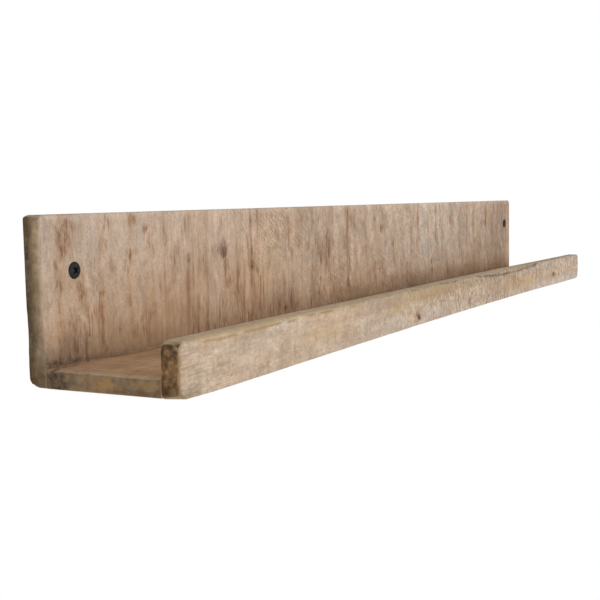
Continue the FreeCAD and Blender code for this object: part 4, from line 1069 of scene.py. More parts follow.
# ----------------------------------------------------------------- node helpers
class Tree:
    def __init__(self, name):
        self.mat = bpy.data.materials.new(name)
        self.mat.use_nodes = True
        self.nt = self.mat.node_tree
        self.nt.nodes.clear()
        self.out = self.nt.nodes.new("ShaderNodeOutputMaterial")
        self.bsdf = self.nt.nodes.new("ShaderNodeBsdfPrincipled")
        self.nt.links.new(self.bsdf.outputs[0], self.out.inputs["Surface"])
        self.coord = self.nt.nodes.new("ShaderNodeTexCoord").outputs["Object"]

    def put(self, socket, value):
        if isinstance(value, bpy.types.NodeSocket):
            self.nt.links.new(value, socket)
        elif value is not None:
            socket.default_value = value

    def math(self, op, a, b=None, c=None, clamp=False):
        n = self.nt.nodes.new("ShaderNodeMath")
        n.operation, n.use_clamp = op, clamp
        for s, v in zip(n.inputs, (a, b, c)):
            self.put(s, v)
        return n.outputs[0]

    def scaled(self, factors, offset=(0.0, 0.0, 0.0), source=None):
        """Object coordinates in mm, multiplied by these factors."""
        n = self.nt.nodes.new("ShaderNodeVectorMath")
        n.operation = "MULTIPLY_ADD"
        self.put(n.inputs[0], source or self.coord)
        n.inputs[1].default_value = [1000.0 * f for f in factors] if source is None else factors
        n.inputs[2].default_value = offset
        return n.outputs[0]

    def add(self, a, b):
        n = self.nt.nodes.new("ShaderNodeVectorMath")
        n.operation = "ADD"
        self.put(n.inputs[0], a)
        self.put(n.inputs[1], b)
        return n.outputs[0]

    def noise(self, vector, detail=2.0, rough=0.5, distortion=0.0, scale=1.0):
        n = self.nt.nodes.new("ShaderNodeTexNoise")
        n.inputs["Scale"].default_value = scale
        n.inputs["Detail"].default_value = detail
        n.inputs["Roughness"].default_value = rough
        n.inputs["Distortion"].default_value = distortion
        self.put(n.inputs["Vector"], vector)
        return n.outputs["Fac"]

    def noise_vector(self, vector, amount, detail=1.0):
        n = self.nt.nodes.new("ShaderNodeTexNoise")
        n.inputs["Scale"].default_value = 1.0
        n.inputs["Detail"].default_value = detail
        self.put(n.inputs["Vector"], vector)
        m = self.nt.nodes.new("ShaderNodeVectorMath")
        m.operation = "MULTIPLY_ADD"
        self.put(m.inputs[0], n.outputs["Color"])
        m.inputs[1].default_value = amount
        m.inputs[2].default_value = [-0.5 * a for a in amount]
        return m.outputs[0]

    def band(self, value, low, high, to_low=0.0, to_high=1.0):
        n = self.nt.nodes.new("ShaderNodeMapRange")
        n.interpolation_type = "SMOOTHSTEP"
        self.put(n.inputs["Value"], value)
        n.inputs["From Min"].default_value, n.inputs["From Max"].default_value = low, high
        n.inputs["To Min"].default_value, n.inputs["To Max"].default_value = to_low, to_high
        return n.outputs["Result"]

    def attr(self, name):
        n = self.nt.nodes.new("ShaderNodeAttribute")
        n.attribute_name = name
        return n.outputs["Fac"]

    def mix(self, fac, a, b, mode="MIX"):
        n = self.nt.nodes.new("ShaderNodeMix")
        n.data_type, n.blend_type, n.clamp_factor = "RGBA", mode, True
        self.put(n.inputs[0], fac)
        for s, v in ((n.inputs[6], a), (n.inputs[7], b)):
            self.put(s, (*v, 1.0) if isinstance(v, tuple) else v)
        return n.outputs[2]

    def times(self, *values):
        out = values[0]
        for v in values[1:]:
            out = self.math("MULTIPLY", out, v)
        return out

    def field(self, size, seed, detail=2.0, rough=0.55, warp=None, distortion=0.0):
        """Noise whose features are about this many mm in x, y and z."""
        v = self.scaled([1.0 / a for a in size], (seed * 3.17 % 11.0, seed * 5.71 % 13.0, seed * 7.39 % 17.0))
        if warp is not None:
            v = self.add(v, warp)
        return self.noise(v, detail, rough, distortion)

    def blend(self, *pairs):
        """Weighted sum of (value, weight) pairs."""
        out = None
        for value, weight in pairs:
            term = self.math("MULTIPLY", value, weight)
            out = term if out is None else self.math("ADD", out, term)
        return out

    def soak(self, mask, grain, low=0.45, high=0.57, halo=0.28, gain=1.2):
        """Stain with a soft halo that gathers in specks of the grain."""
        v = self.band(grain, low, high, halo, halo + gain)
        return self.math("MULTIPLY", mask, v, clamp=True)

    def slant(self, angle, along, across, seed, detail=2.0, rough=0.6):
        """Noise drawn out along a direction in the front plane, in degrees."""
        a = math.radians(angle)
        parts = []
        for fx, fz, size in ((math.cos(a), math.sin(a), along), (-math.sin(a), math.cos(a), across)):
            n = self.nt.nodes.new("ShaderNodeVectorMath")
            n.operation = "DOT_PRODUCT"
            self.put(n.inputs[0], self.coord)
            n.inputs[1].default_value = (1000.0 * fx / size, 0.0, 1000.0 * fz / size)
            parts.append(n.outputs["Value"])
        c = self.nt.nodes.new("ShaderNodeCombineXYZ")
        self.put(c.inputs[0], parts[0])
        self.put(c.inputs[1], parts[1])
        c.inputs[2].default_value = seed * 1.37
        return self.noise(c.outputs[0], detail, rough)

    def dim(self, colour, factor):
        n = self.nt.nodes.new("ShaderNodeVectorMath")
        n.operation = "SCALE"
        self.put(n.inputs[0], colour)
        self.put(n.inputs["Scale"], factor)
        return n.outputs[0]

    def swing(self, colour, value, amount):
        """Brighter and darker with the value: 1 + amount * (value - 0.5)."""
        return self.dim(colour, self.math("MULTIPLY_ADD", value, amount, 1.0 - 0.5 * amount))

    def bump(self, height, strength, distance, under=None):
        n = self.nt.nodes.new("ShaderNodeBump")
        n.inputs["Strength"].default_value = strength
        n.inputs["Distance"].default_value = distance
        self.put(n.inputs["Height"], height)
        if under is not None:
            self.put(n.inputs["Normal"], under)
        return n.outputs[0]


# ------------------------------------------------------- the finish of each board
RUST, DARK = (0.330, 0.165, 0.080), (0.060, 0.038, 0.027)


def end_grain(t, light, deep, ochre, brown=(0.17, 0.095, 0.045), rough=1.0, pale=(0.46, 0.36, 0.23)):
    """Colour of the sawn ends: soft blotches, growth rings and open pores."""
    blot = t.field((4.0, 4.0, 4.5), 31, 3.0, 0.6)
    ring = t.field((4.0, 7.0, 3.0), 32, 2.0, 0.5)
    pores = t.field((3.0, 0.9, 1.0), 33, 3.0, 0.7)
    col = t.mix(t.band(blot, 0.38, 0.62), light, deep)
    col = t.swing(col, ring, 0.7)
    col = t.swing(col, pores, 0.9 * rough)
    grain = t.blend((pores, 0.65), (blot, 0.35))
    col = t.mix(t.times(t.attr("ochre"), t.band(pores, 0.3, 0.6, 0.6, 1.0)), col, ochre)
    col = t.mix(t.times(t.attr("cool"), 0.6), col, (0.20, 0.16, 0.115))
    col = t.mix(t.times(t.attr("pale"), 0.6), col, pale)
    col = t.mix(t.times(t.soak(t.attr("brown"), grain), 0.8), col, brown)
    col = t.mix(t.times(t.soak(t.attr("dark"), grain, 0.46, 0.56, 0.5, 0.8), 0.9), col, DARK)
    return col


def close_finish(t, col, height, strength=0.5):
    col = t.dim(col, t.math("MULTIPLY_ADD", t.attr("tone"), 1.2, 0.4))
    t.put(t.bsdf.inputs["Base Color"], col)
    t.put(t.bsdf.inputs["Roughness"], t.band(height, 0.3, 0.7, 0.94, 0.76))
    t.bsdf.inputs["Specular IOR Level"].default_value = 0.22
    t.put(t.bsdf.inputs["Normal"], t.bump(height, strength, 0.0004))
    return t.mat


def back_finish():
    t = Tree("sawn_back_board")
    warp = t.noise_vector(t.scaled((1 / 38.0, 1 / 38.0, 1 / 26.0)), (0.9, 0.9, 0.9))
    wide = t.field((9, 14, 80), 1, 3.0, 0.6, warp)
    tint = t.field((34, 30, 40), 2, 3.0, 0.6)
    patch = t.field((14, 12, 24), 10, 3.0, 0.6, warp)
    mottle = t.field((4, 4, 7), 3, 2.0, 0.6, warp)
    grit = t.field((2.6, 4, 1.5), 42, 3.0, 0.65)
    coarse = t.field((5.5, 5, 2.0), 46, 3.0, 0.65)
    grit = t.math("ADD", grit, t.times(t.math("SUBTRACT", coarse, grit), t.attr("far")))
    fuzz = t.field((0.9, 1.5, 1.4), 4, 3.0, 0.7)
    streak = t.field((3.4, 6, 46), 5, 2.0, 0.6, warp)
    line = t.field((1.5, 5, 55), 41, 2.0, 0.6, warp)
    dash = t.field((1.5, 5, 7), 6, 2.0, 0.6, warp)
    cluster = t.field((9, 9, 24), 7, 2.0, 0.5, warp)
    cut = t.slant(-38.0, 8.0, 1.3, 8)
    flame = t.slant(-64.0, 60.0, 14.0, 43, 3.0, 0.65)
    blotch = t.field((22, 12, 16), 44, 3.0, 0.6, warp)
    col = t.mix(t.band(wide, 0.38, 0.62), (0.600, 0.468, 0.376), (0.560, 0.424, 0.310))
    col = t.mix(t.times(t.band(tint, 0.38, 0.62), 0.6), col, (0.600, 0.470, 0.365))
    # pale streaks, plus the painted highlights along the top edge and the left arris
    col = t.mix(t.times(t.attr("pale"), t.band(fuzz, 0.2, 0.6, 0.6, 1.0)), col, (0.690, 0.565, 0.462))
    # browner towards the shelf joint: partly staining, partly painted shade of the corner
    col = t.mix(t.attr("stain"), col, t.mix(1.0, col, (0.99, 0.865, 0.72), "MULTIPLY"))
    col = t.mix(t.times(t.attr("gold"), 0.7), col, (0.600, 0.452, 0.315))
    busy = t.attr("busy")
    col = t.swing(col, patch, 0.7)
    col = t.swing(col, mottle, 0.6)
    granular = t.attr("granular")
    col = t.swing(col, t.math("MULTIPLY_ADD", t.math("SUBTRACT", grit, 0.5), granular, 0.5), 2.2)
    col = t.mix(t.times(t.band(grit, 0.54, 0.63), granular, 0.7), col, (0.385, 0.250, 0.152))
    col = t.mix(t.times(t.band(grit, 0.46, 0.37), granular, 0.5), col, (0.700, 0.575, 0.462))
    col = t.swing(col, fuzz, 0.9)
    figure = t.attr("figure")
    plain = t.math("MULTIPLY_ADD", figure, -0.65, 1.0)
    col = t.swing(col, t.math("MULTIPLY_ADD", t.math("SUBTRACT", wide, 0.5), plain, 0.5), 0.3)
    cloud = t.field((13, 8, 7.5), 50, 3.0, 0.65)
    col = t.swing(col, t.math("MULTIPLY_ADD", t.math("SUBTRACT", cloud, 0.5), figure, 0.5), 1.2)
    col = t.mix(t.times(t.band(cloud, 0.54, 0.64), figure, 0.35), col, (0.45, 0.300, 0.190))
    col = t.mix(t.times(t.band(cloud, 0.46, 0.37), figure, 0.4), col, (0.675, 0.555, 0.445))
    col = t.mix(t.attr("ashen"), col, t.mix(1.0, col, (1.0, 1.09, 1.17), "MULTIPLY"))
    col = t.swing(col, t.math("MULTIPLY_ADD", t.math("SUBTRACT", flame, 0.5), figure, 0.5), 0.8)
    col = t.swing(col, t.math("MULTIPLY_ADD", t.math("SUBTRACT", blotch, 0.5), figure, 0.5), 0.7)
    col = t.mix(t.times(t.band(blotch, 0.52, 0.64), figure, 0.35), col, (0.47, 0.33, 0.22))
    gather = t.math("MULTIPLY_ADD", t.math("SUBTRACT", cluster, 0.5), 2.6, busy)
    gather = t.band(gather, 0.22, 0.8)
    col = t.mix(t.times(t.band(streak, 0.44, 0.60), t.math("MULTIPLY_ADD", gather, 0.34, 0.04)), col, (0.42, 0.27, 0.165))
    col = t.mix(t.times(t.band(streak, 0.46, 0.36), plain, 0.3), col, (0.66, 0.53, 0.425))
    col = t.swing(col, t.math("MULTIPLY_ADD", t.math("SUBTRACT", cut, 0.5), t.attr("fibre"), 0.5), 1.5)
    scratch = t.times(t.band(cut, 0.53, 0.63), t.attr("fibre"))
    col = t.mix(t.times(scratch, 0.35), col, (0.70, 0.58, 0.47))
    grain = t.blend((dash, 0.35), (line, 0.35), (fuzz, 0.3))
    fine = t.blend((fuzz, 0.45), (grit, 0.35), (dash, 0.2))
    col = t.mix(t.times(t.soak(t.attr("ochre"), fine), 0.6), col, (0.50, 0.31, 0.155))
    col = t.mix(t.times(t.soak(t.attr("cool"), fine), 0.45), col, (0.30, 0.235, 0.20))
    # thin lines left by the saw, in clusters
    saw = t.math("MULTIPLY_ADD", figure, -0.5, 1.0)
    col = t.mix(t.times(t.band(line, 0.51, 0.60), t.band(fuzz, 0.3, 0.6, 0.55, 1.0), gather, saw, 1.0), col, (0.365, 0.190, 0.098))
    col = t.mix(t.times(t.band(dash, 0.54, 0.60), gather, 0.65), col, (0.27, 0.142, 0.076))
    col = t.mix(t.times(t.band(dash, 0.44, 0.35), gather, 0.45), col, (0.70, 0.56, 0.445))
    lacy = t.attr("lacy")
    col = t.swing(col, t.math("MULTIPLY_ADD", t.math("SUBTRACT", dash, 0.5), t.math("SUBTRACT", 1.0, lacy), 0.5), 0.45)
    lace = t.field((1.7, 3, 5.0), 49, 3.0, 0.65, t.noise_vector(t.scaled((1 / 7.0, 1 / 7.0, 1 / 9.0)), (1.6, 0.6, 0.6)))
    drip = t.blend((fuzz, 0.28), (dash, 0.22), (line, 0.50))
    web = t.blend((fuzz, 0.35), (lace, 0.65))
    drip = t.math("ADD", drip, t.times(t.math("SUBTRACT", web, drip), lacy))
    freckle = t.times(t.band(lace, 0.57, 0.66), t.band(cluster, 0.42, 0.62), lacy)
    col = t.mix(t.times(freckle, 0.6), col, (0.41, 0.235, 0.135))
    col = t.mix(t.times(t.soak(t.attr("brown"), mottle, 0.40, 0.60, 0.55, 0.7), 0.72), col, (0.475, 0.285, 0.165))
    col = t.mix(t.times(t.soak(t.attr("brown"), drip, 0.44, 0.57, 0.05, 1.3), 0.8), col, (0.290, 0.138, 0.066))
    # residue and the joint line, with painted shade just over the shelf joint
    dirt_and_shade_grain = t.blend((fuzz, 0.5), (grit, 0.5))
    col = t.mix(t.times(t.soak(t.attr("dirt"), dirt_and_shade_grain, 0.46, 0.56, 0.3, 1.0), 0.85), col, (0.150, 0.085, 0.046))
    smear = t.blend((line, 0.3), (mottle, 0.25), (fuzz, 0.3), (dash, 0.15))
    col = t.mix(t.times(t.soak(t.attr("dark"), smear, 0.43, 0.58, 0.35, 1.1), 0.85), col, (0.125, 0.076, 0.054))
    edge = t.field((5, 4, 5), 9, 3.0, 0.6)
    col = t.mix(t.times(t.attr("rim"), t.band(edge, 0.35, 0.65, 0.05, 0.3)), col, (0.44, 0.32, 0.20))
    col = t.mix(t.attr("end"), col, end_grain(t, (0.35, 0.248, 0.150), (0.285, 0.197, 0.112), (0.34, 0.19, 0.08), pale=(0.53, 0.42, 0.32)))
    height = t.blend((dash, 0.3), (line, 0.35), (fuzz, 0.35))
    return close_finish(t, col, height, 0.4)


def shelf_finish():
    t = Tree("sawn_shelf_board")
    warp = t.noise_vector(t.scaled((1 / 38.0, 1 / 38.0, 1 / 26.0)), (0.9, 0.9, 0.9))
    wide = t.field((16, 90, 14), 11, 3.0, 0.55, warp)
    fuzz = t.field((1.0, 1.6, 0.9), 12, 3.0, 0.65)
    streak = t.field((1.8, 30, 6), 13, 2.0, 0.6, warp)
    along = t.field((30, 2.6, 2.2), 14, 2.0, 0.6, warp)
    mottle = t.field((5, 8, 4), 15, 2.0, 0.55)
    col = t.mix(t.band(wide, 0.38, 0.62), (0.545, 0.362, 0.222), (0.470, 0.300, 0.174))
    col = t.mix(t.times(t.attr("pale"), 0.8), col, (0.60, 0.47, 0.33))
    col = t.swing(col, mottle, 0.7)
    col = t.swing(col, fuzz, 0.8)
    col = t.swing(col, streak, 0.5)
    col = t.swing(col, along, 1.1)
    col = t.mix(t.times(t.band(along, 0.54, 0.66), 0.4), col, (0.30, 0.155, 0.08))
    grain = t.blend((along, 0.45), (fuzz, 0.35), (mottle, 0.2))
    col = t.mix(t.times(t.soak(t.attr("cool"), fuzz), 0.6), col, (0.19, 0.16, 0.125))
    col = t.mix(t.times(t.soak(t.attr("brown"), grain), 0.7), col, (0.27, 0.140, 0.070))
    col = t.mix(t.times(t.soak(t.attr("dark"), grain), 0.9), col, DARK)
    col = t.mix(t.times(t.attr("rim"), 0.25), col, (0.36, 0.27, 0.16))
    col = t.mix(t.attr("end"), col, end_grain(t, (0.285, 0.200, 0.115), (0.230, 0.158, 0.092), (0.42, 0.25, 0.105)))
    height = t.blend((streak, 0.35), (along, 0.25), (fuzz, 0.4))
    return close_finish(t, col, height)


def lip_finish():
    t = Tree("sawn_front_lip")
    warp = t.noise_vector(t.scaled((1 / 45.0, 1 / 45.0, 1 / 30.0)), (0.5, 0.5, 2.4))
    fibre = t.field((22, 6, 1.2), 21, 2.0, 0.6, warp)
    long = t.field((50, 8, 4.0), 22, 2.0, 0.55, warp)
    blotch = t.field((10, 6, 5.0), 29, 3.0, 0.6)
    mottle = t.field((3.4, 3, 2.2), 23, 2.0, 0.6)
    patch = t.field((34, 20, 12), 24, 3.0, 0.6)
    bands = t.field((4, 12, 50), 25, 2.0, 0.55)
    fuzz = t.field((1.1, 1.1, 0.9), 26, 3.0, 0.7)
    dash = t.field((2.0, 3, 2.6), 27, 2.0, 0.6)
    crack = t.field((30, 6, 1.5), 30, 2.0, 0.6, warp)
    speck = t.field((2.0, 2, 1.3), 47, 3.0, 0.65)
    coarse = t.field((5.5, 3, 2.4), 48, 3.0, 0.7)
    speck = t.math("ADD", speck, t.times(t.math("SUBTRACT", coarse, speck), t.attr("far")))
    col = t.mix(t.band(patch, 0.38, 0.62), (0.528, 0.396, 0.296), (0.498, 0.384, 0.276))
    col = t.mix(t.times(t.band(blotch, 0.45, 0.62), 0.6), col, (0.580, 0.462, 0.355))
    col = t.mix(t.times(t.attr("tan"), 0.8), col, (0.560, 0.424, 0.296))
    col = t.mix(t.times(t.attr("topside"), 1.0), col, (0.570, 0.442, 0.300))
    col = t.mix(t.times(t.attr("pale"), t.band(speck, 0.40, 0.58, 0.35, 1.1)), col, (0.655, 0.555, 0.46))
    col = t.swing(col, long, 0.35)
    col = t.swing(col, blotch, 0.4)
    col = t.swing(col, t.math("MULTIPLY_ADD", t.math("SUBTRACT", fibre, 0.5), t.attr("cracked"), 0.5), 1.0)
    col = t.swing(col, mottle, 0.8)
    col = t.swing(col, t.math("MULTIPLY_ADD", t.math("SUBTRACT", bands, 0.5), t.attr("banded"), 0.5), 1.2)
    col = t.swing(col, fuzz, 0.4)
    col = t.swing(col, t.math("MULTIPLY_ADD", t.math("SUBTRACT", speck, 0.5), t.attr("specked"), 0.5), 1.5)
    col = t.mix(t.times(t.band(speck, 0.54, 0.63), t.attr("specked"), 0.85), col, (0.32, 0.205, 0.12))
    col = t.mix(t.times(t.band(speck, 0.45, 0.36), t.attr("specked"), 0.5), col, (0.67, 0.56, 0.45))
    nick = t.field((3.6, 3, 5.5), 51, 3.0, 0.7)
    col = t.mix(t.times(t.band(nick, 0.52, 0.60), t.attr("specked"), t.math("MULTIPLY_ADD", t.attr("far"), 0.9, 0.1)), col, (0.345, 0.225, 0.140))
    col = t.mix(t.times(t.band(nick, 0.48, 0.40), t.attr("specked"), t.math("MULTIPLY_ADD", t.attr("far"), 0.8, 0.1)), col, (0.655, 0.555, 0.45))
    grain = t.blend((fibre, 0.2), (dash, 0.4), (fuzz, 0.2), (mottle, 0.2))
    fork = t.slant(22.0, 9.0, 1.2, 45)
    col = t.mix(t.times(t.band(fork, 0.60, 0.68), t.attr("cracked"), 0.35), col, (0.36, 0.20, 0.11))
    fine = t.blend((fuzz, 0.5), (dash, 0.5))
    col = t.mix(t.times(t.band(crack, 0.58, 0.64), t.attr("cracked"), 0.6), col, (0.36, 0.21, 0.12))
    col = t.mix(t.times(t.soak(t.attr("ochre"), grain, 0.42, 0.58, 0.5, 0.8), 0.75), col, (0.53, 0.365, 0.165))
    col = t.mix(t.times(t.attr("edge_line"), t.band(fuzz, 0.3, 0.5, 0.7, 1.0), 0.85), col, (0.34, 0.205, 0.085))
    col = t.mix(t.times(t.soak(t.attr("cool"), fine), 0.6), col, (0.31, 0.265, 0.205))
    col = t.mix(t.times(t.soak(t.attr("brown"), grain, 0.43, 0.57, 0.35, 1.1), 0.75), col, (0.31, 0.17, 0.09))
    col = t.mix(t.attr("ash"), col, t.mix(1.0, col, (1.0, 1.09, 1.24), "MULTIPLY"))
    col = t.mix(t.times(t.soak(t.attr("dark"), fine), 0.95), col, DARK)
    edge = t.field((5, 4, 5), 28, 3.0, 0.6)
    col = t.mix(t.times(t.attr("rim"), t.band(edge, 0.35, 0.65, 0.05, 0.35)), col, (0.42, 0.33, 0.20))
    col = t.mix(t.attr("end"), col, end_grain(t, (0.310, 0.176, 0.078), (0.155, 0.076, 0.031), (0.34, 0.228, 0.085), (0.115, 0.050, 0.020), 2.4))
    col = t.mix(t.times(t.attr("olive"), t.band(fuzz, 0.25, 0.6, 0.55, 0.9)), col, (0.300, 0.215, 0.098))
    height = t.blend((fibre, 0.35), (dash, 0.3), (fuzz, 0.35))
    return close_finish(t, col, height)


def metal(name, colour, dark, rough, scale, metallic=1.0, wear=None, shine=0.45, recess=False):
    t = Tree(name)
    fine = t.noise(t.scaled((1 / scale,) * 3, (1, 2, 3)), 3.0, 0.6)
    broad = t.noise(t.scaled((1 / (5 * scale),) * 3, (4, 2, 9)), 3.0, 0.6)
    col = t.mix(t.band(fine, 0.35, 0.7), colour, dark)
    if wear is not None:
        col = t.mix(t.times(t.band(broad, 0.55, 0.7), 0.5), col, wear)
    # painted shade: the cross recess is painted near-black
    if recess:
        col = t.mix(t.attr("recess"), col, (0.002, 0.002, 0.002))
    t.put(t.bsdf.inputs["Base Color"], col)
    t.put(t.bsdf.inputs["Roughness"], t.band(fine, 0.3, 0.7, rough, rough + 0.18))
    t.bsdf.inputs["Metallic"].default_value = metallic
    t.bsdf.inputs["Specular IOR Level"].default_value = shine
    t.put(t.bsdf.inputs["Normal"], t.bump(fine, 0.25, 0.00006))
    return t.mat


# ------------------------------------------------------------------- the screws
def wall_screw(name, x, z, turn):
    """Pan head with a cross recess, plain neck, and a real thread and point."""
    h = 1.45
    under = -BACK_T
    segs = 64
    prof = [(0.02, -h), (0.8, -h + 0.005), (1.6, -h + 0.025), (2.3, -h + 0.06), (2.9, -h + 0.12),
            (3.4, -h + 0.2), (3.85, -h + 0.3), (4.25, -h + 0.44), (4.58, -h + 0.61), (4.83, -h + 0.84),
            (4.95, -h + 1.05), (5.0, -h + 1.22), (5.0, -0.1), (4.95, -0.03), (4.85, 0.0), (1.9, 0.0), (1.85, 0.05)]
    bm_verts, faces = [], []
    ang = np.arange(segs) * 2.0 * math.pi / segs
    for r, y in prof:
        bm_verts += [(r * math.cos(a), y, r * math.sin(a)) for a in ang]
    pitch, start, root, crest = 2.3, 14.0, 1.62, 2.5
    ys = [0.3, 4.0, 8.0, 12.0, 13.0, 13.6] + list(np.arange(14.0, 34.6, 0.14)) + [34.75]
    for y in ys:
        if y <= 13.6:
            rr = np.full(segs, 1.85)
        else:
            body = np.interp(y, (14.0, 14.6, 30.0, 34.75), (1.85, root, root, 0.12))
            tip = np.interp(y, (start, start + 2.2, 30.0, 33.8), (0.0, 1.0, 1.0, 0.0))
            phase = ((y - start) / pitch - ang / (2.0 * math.pi)) % 1.0
            ridge = np.clip(1.0 - np.abs(phase - 0.5) / 0.2, 0.0, 1.0) ** 0.9
            rr = body + (crest - root) * tip * ridge * np.interp(y, (30.0, 34.2), (1.0, 0.75))
        bm_verts += [(float(r) * math.cos(a), y, float(r) * math.sin(a)) for r, a in zip(rr, ang)]
    rings = len(prof) + len(ys)
    for i in range(rings - 1):
        for j in range(segs):
            k = (j + 1) % segs
            a, b, c, d = i * segs + j, i * segs + k, (i + 1) * segs + k, (i + 1) * segs + j
            faces.append((a, b, c, d))
    top = len(bm_verts)
    bm_verts.append((0.0, -h, 0.0))
    tip = len(bm_verts)
    bm_verts.append((0.0, 34.95, 0.0))
    for j in range(segs):
        k = (j + 1) % segs
        faces.append((top, k, j))
        faces.append((tip, (rings - 1) * segs + j, (rings - 1) * segs + k))
    mesh = bpy.data.meshes.new(name)
    mesh.from_pydata(bm_verts, [], faces)
    mesh.validate()
    ob = bpy.data.objects.new(name, mesh)
    bpy.context.scene.collection.objects.link(ob)
    flip = mesh.polygons[0].normal
    # the cross: two tapered wings and a cup, cut out of the head
    cutters = []
    for k in (0.0, 90.0):
        w, t0, t1, b0 = 6.5, 1.4, 0.8, 1.9
        y0, y1 = -h - 0.2, -h + 1.95
        vs = []
        for y, wide, thick in ((y0, w, t0), (y1, b0, t1)):
            vs += [(-wide / 2, y, -thick / 2), (wide / 2, y, -thick / 2), (wide / 2, y, thick / 2), (-wide / 2, y, thick / 2)]
        fs = [(3, 2, 1, 0), (4, 5, 6, 7), (0, 1, 5, 4), (1, 2, 6, 5), (2, 3, 7, 6), (3, 0, 4, 7)]
        m = bpy.data.meshes.new("wing")
        m.from_pydata(vs, [], fs)
        m.transform(Matrix.Rotation(math.radians(k + turn), 4, "Y"))
        cutters.append(bpy.data.objects.new("wing", m))
    n = 20
    vs, fs = [], []
    for y, r in ((-h - 0.2, 1.55), (-h + 1.5, 1.0), (-h + 2.1, 0.5)):
        vs += [(r * math.cos(2 * math.pi * j / n), y, r * math.sin(2 * math.pi * j / n)) for j in range(n)]
    for i in range(2):
        fs += [(i * n + j, i * n + (j + 1) % n, (i + 1) * n + (j + 1) % n, (i + 1) * n + j) for j in range(n)]
    fs += [tuple(range(n))[::-1], tuple(range(2 * n, 3 * n))]
    m = bpy.data.meshes.new("cup")
    m.from_pydata(vs, [], fs)
    cutters.append(bpy.data.objects.new("cup", m))
    import bmesh
    for o in [ob] + cutters:
        bm = bmesh.new()
        bm.from_mesh(o.data)
        bmesh.ops.recalc_face_normals(bm, faces=bm.faces)
        bm.to_mesh(o.data)
        bm.free()
    for c in cutters:
        bpy.context.scene.collection.objects.link(c)
        mod = ob.modifiers.new("cut", "BOOLEAN")
        mod.operation, mod.solver, mod.object = "DIFFERENCE", "EXACT", c
    dg = bpy.context.evaluated_depsgraph_get()
    done = bpy.data.meshes.new_from_object(ob.evaluated_get(dg), depsgraph=dg)
    ob.modifiers.clear()
    ob.data = done
    for c in cutters:
        bpy.data.objects.remove(c)
    done.transform(Matrix.Translation((x, under, z)))
    done.transform(Matrix.Scale(0.001, 4))
    done.polygons.foreach_set("use_smooth", np.ones(len(done.polygons), bool))
    done.set_sharp_from_angle(angle=math.radians(32.0))
    done.update()
    co = np.empty(3 * len(done.vertices), np.float32)
    done.vertices.foreach_get("co", co)
    co = co.reshape(-1, 3) * 1000.0
    # mask of the cross recess, for its painted shade
    r = np.hypot(co[:, 0] - x, co[:, 2] - z)
    recess_shade_mask = (r < 3.4) & (co[:, 1] > under - h + 0.5) & (co[:, 1] < under + 1.0)
    done.attributes.new("recess", "FLOAT", "POINT").data.foreach_set("value", recess_shade_mask.astype(np.float32))
    return ob


# --------------------------------------------------------------------- the scene
def camera():
    cam = bpy.data.cameras.new("camera")
    cam.sensor_width, cam.sensor_fit = 36.0, "HORIZONTAL"
    cam.lens = 1043.355503 / 600.0 * 36.0
    cam.clip_start, cam.clip_end = 0.01, 200.0
    az, el, roll = -1.083817, 0.094849, -0.019769
    back = Vector((math.sin(az) * math.cos(el), -math.cos(az) * math.cos(el), math.sin(el)))
    fwd = -back
    right = fwd.cross(Vector((0, 0, 1))).normalized()
    up = right.cross(fwd)
    r2 = math.cos(roll) * right + math.sin(roll) * up
    u2 = -math.sin(roll) * right + math.cos(roll) * up
    ob = bpy.data.objects.new("camera", cam)
    m = Matrix((r2, u2, back)).transposed().to_4x4()
    m.translation = (-0.89594, -0.41114, 0.05391)
    ob.matrix_world = m
    bpy.context.scene.collection.objects.link(ob)
    bpy.context.scene.camera = ob


def area(name, place, target, size, power, colour=(1.0, 1.0, 1.0)):
    lamp = bpy.data.lights.new(name, "AREA")
    lamp.shape, lamp.size, lamp.size_y = "RECTANGLE", size[0], size[1]
    lamp.energy, lamp.color = power, colour
    ob = bpy.data.objects.new(name, lamp)
    ob.location = place
    ob.rotation_euler = (Vector(target) - Vector(place)).to_track_quat("-Z", "Y").to_euler()
    bpy.context.scene.collection.objects.link(ob)
    return ob


def studio():
    scene = bpy.context.scene
    scene.view_settings.view_transform = "Standard"
    scene.view_settings.look = "None"
    scene.view_settings.exposure = 0.0
    scene.view_settings.gamma = 1.0
    world = bpy.data.worlds.new("studio")
    scene.world = world
    world.use_nodes = True
    nt = world.node_tree
    nt.nodes.clear()
    out = nt.nodes.new("ShaderNodeOutputWorld")
    seen, light = nt.nodes.new("ShaderNodeBackground"), nt.nodes.new("ShaderNodeBackground")
    seen.inputs["Color"].default_value, seen.inputs["Strength"].default_value = (1, 1, 1, 1), 1.0
    light.inputs["Color"].default_value, light.inputs["Strength"].default_value = (1.0, 0.99, 0.975, 1), 0.42
    path = nt.nodes.new("ShaderNodeLightPath")
    mix = nt.nodes.new("ShaderNodeMixShader")
    nt.links.new(path.outputs["Is Camera Ray"], mix.inputs[0])
    nt.links.new(light.outputs[0], mix.inputs[1])
    nt.links.new(seen.outputs[0], mix.inputs[2])
    nt.links.new(mix.outputs[0], out.inputs["Surface"])
    # soft lamps: a large one straight before the ledge, weak ones above and beside
    area("key", (0.5, -3.2, 0.5), (0.0, 0.0, 0.0), (3.4, 1.3), 44.0, (1.0, 0.99, 0.975))
    area("top", (-0.2, -0.9, 2.6), (0.0, -0.05, 0.0), (2.6, 1.8), 10.0)
    area("side", (-2.6, -1.6, 0.5), (-0.3, 0.0, 0.0), (1.6, 1.6), 1.5)


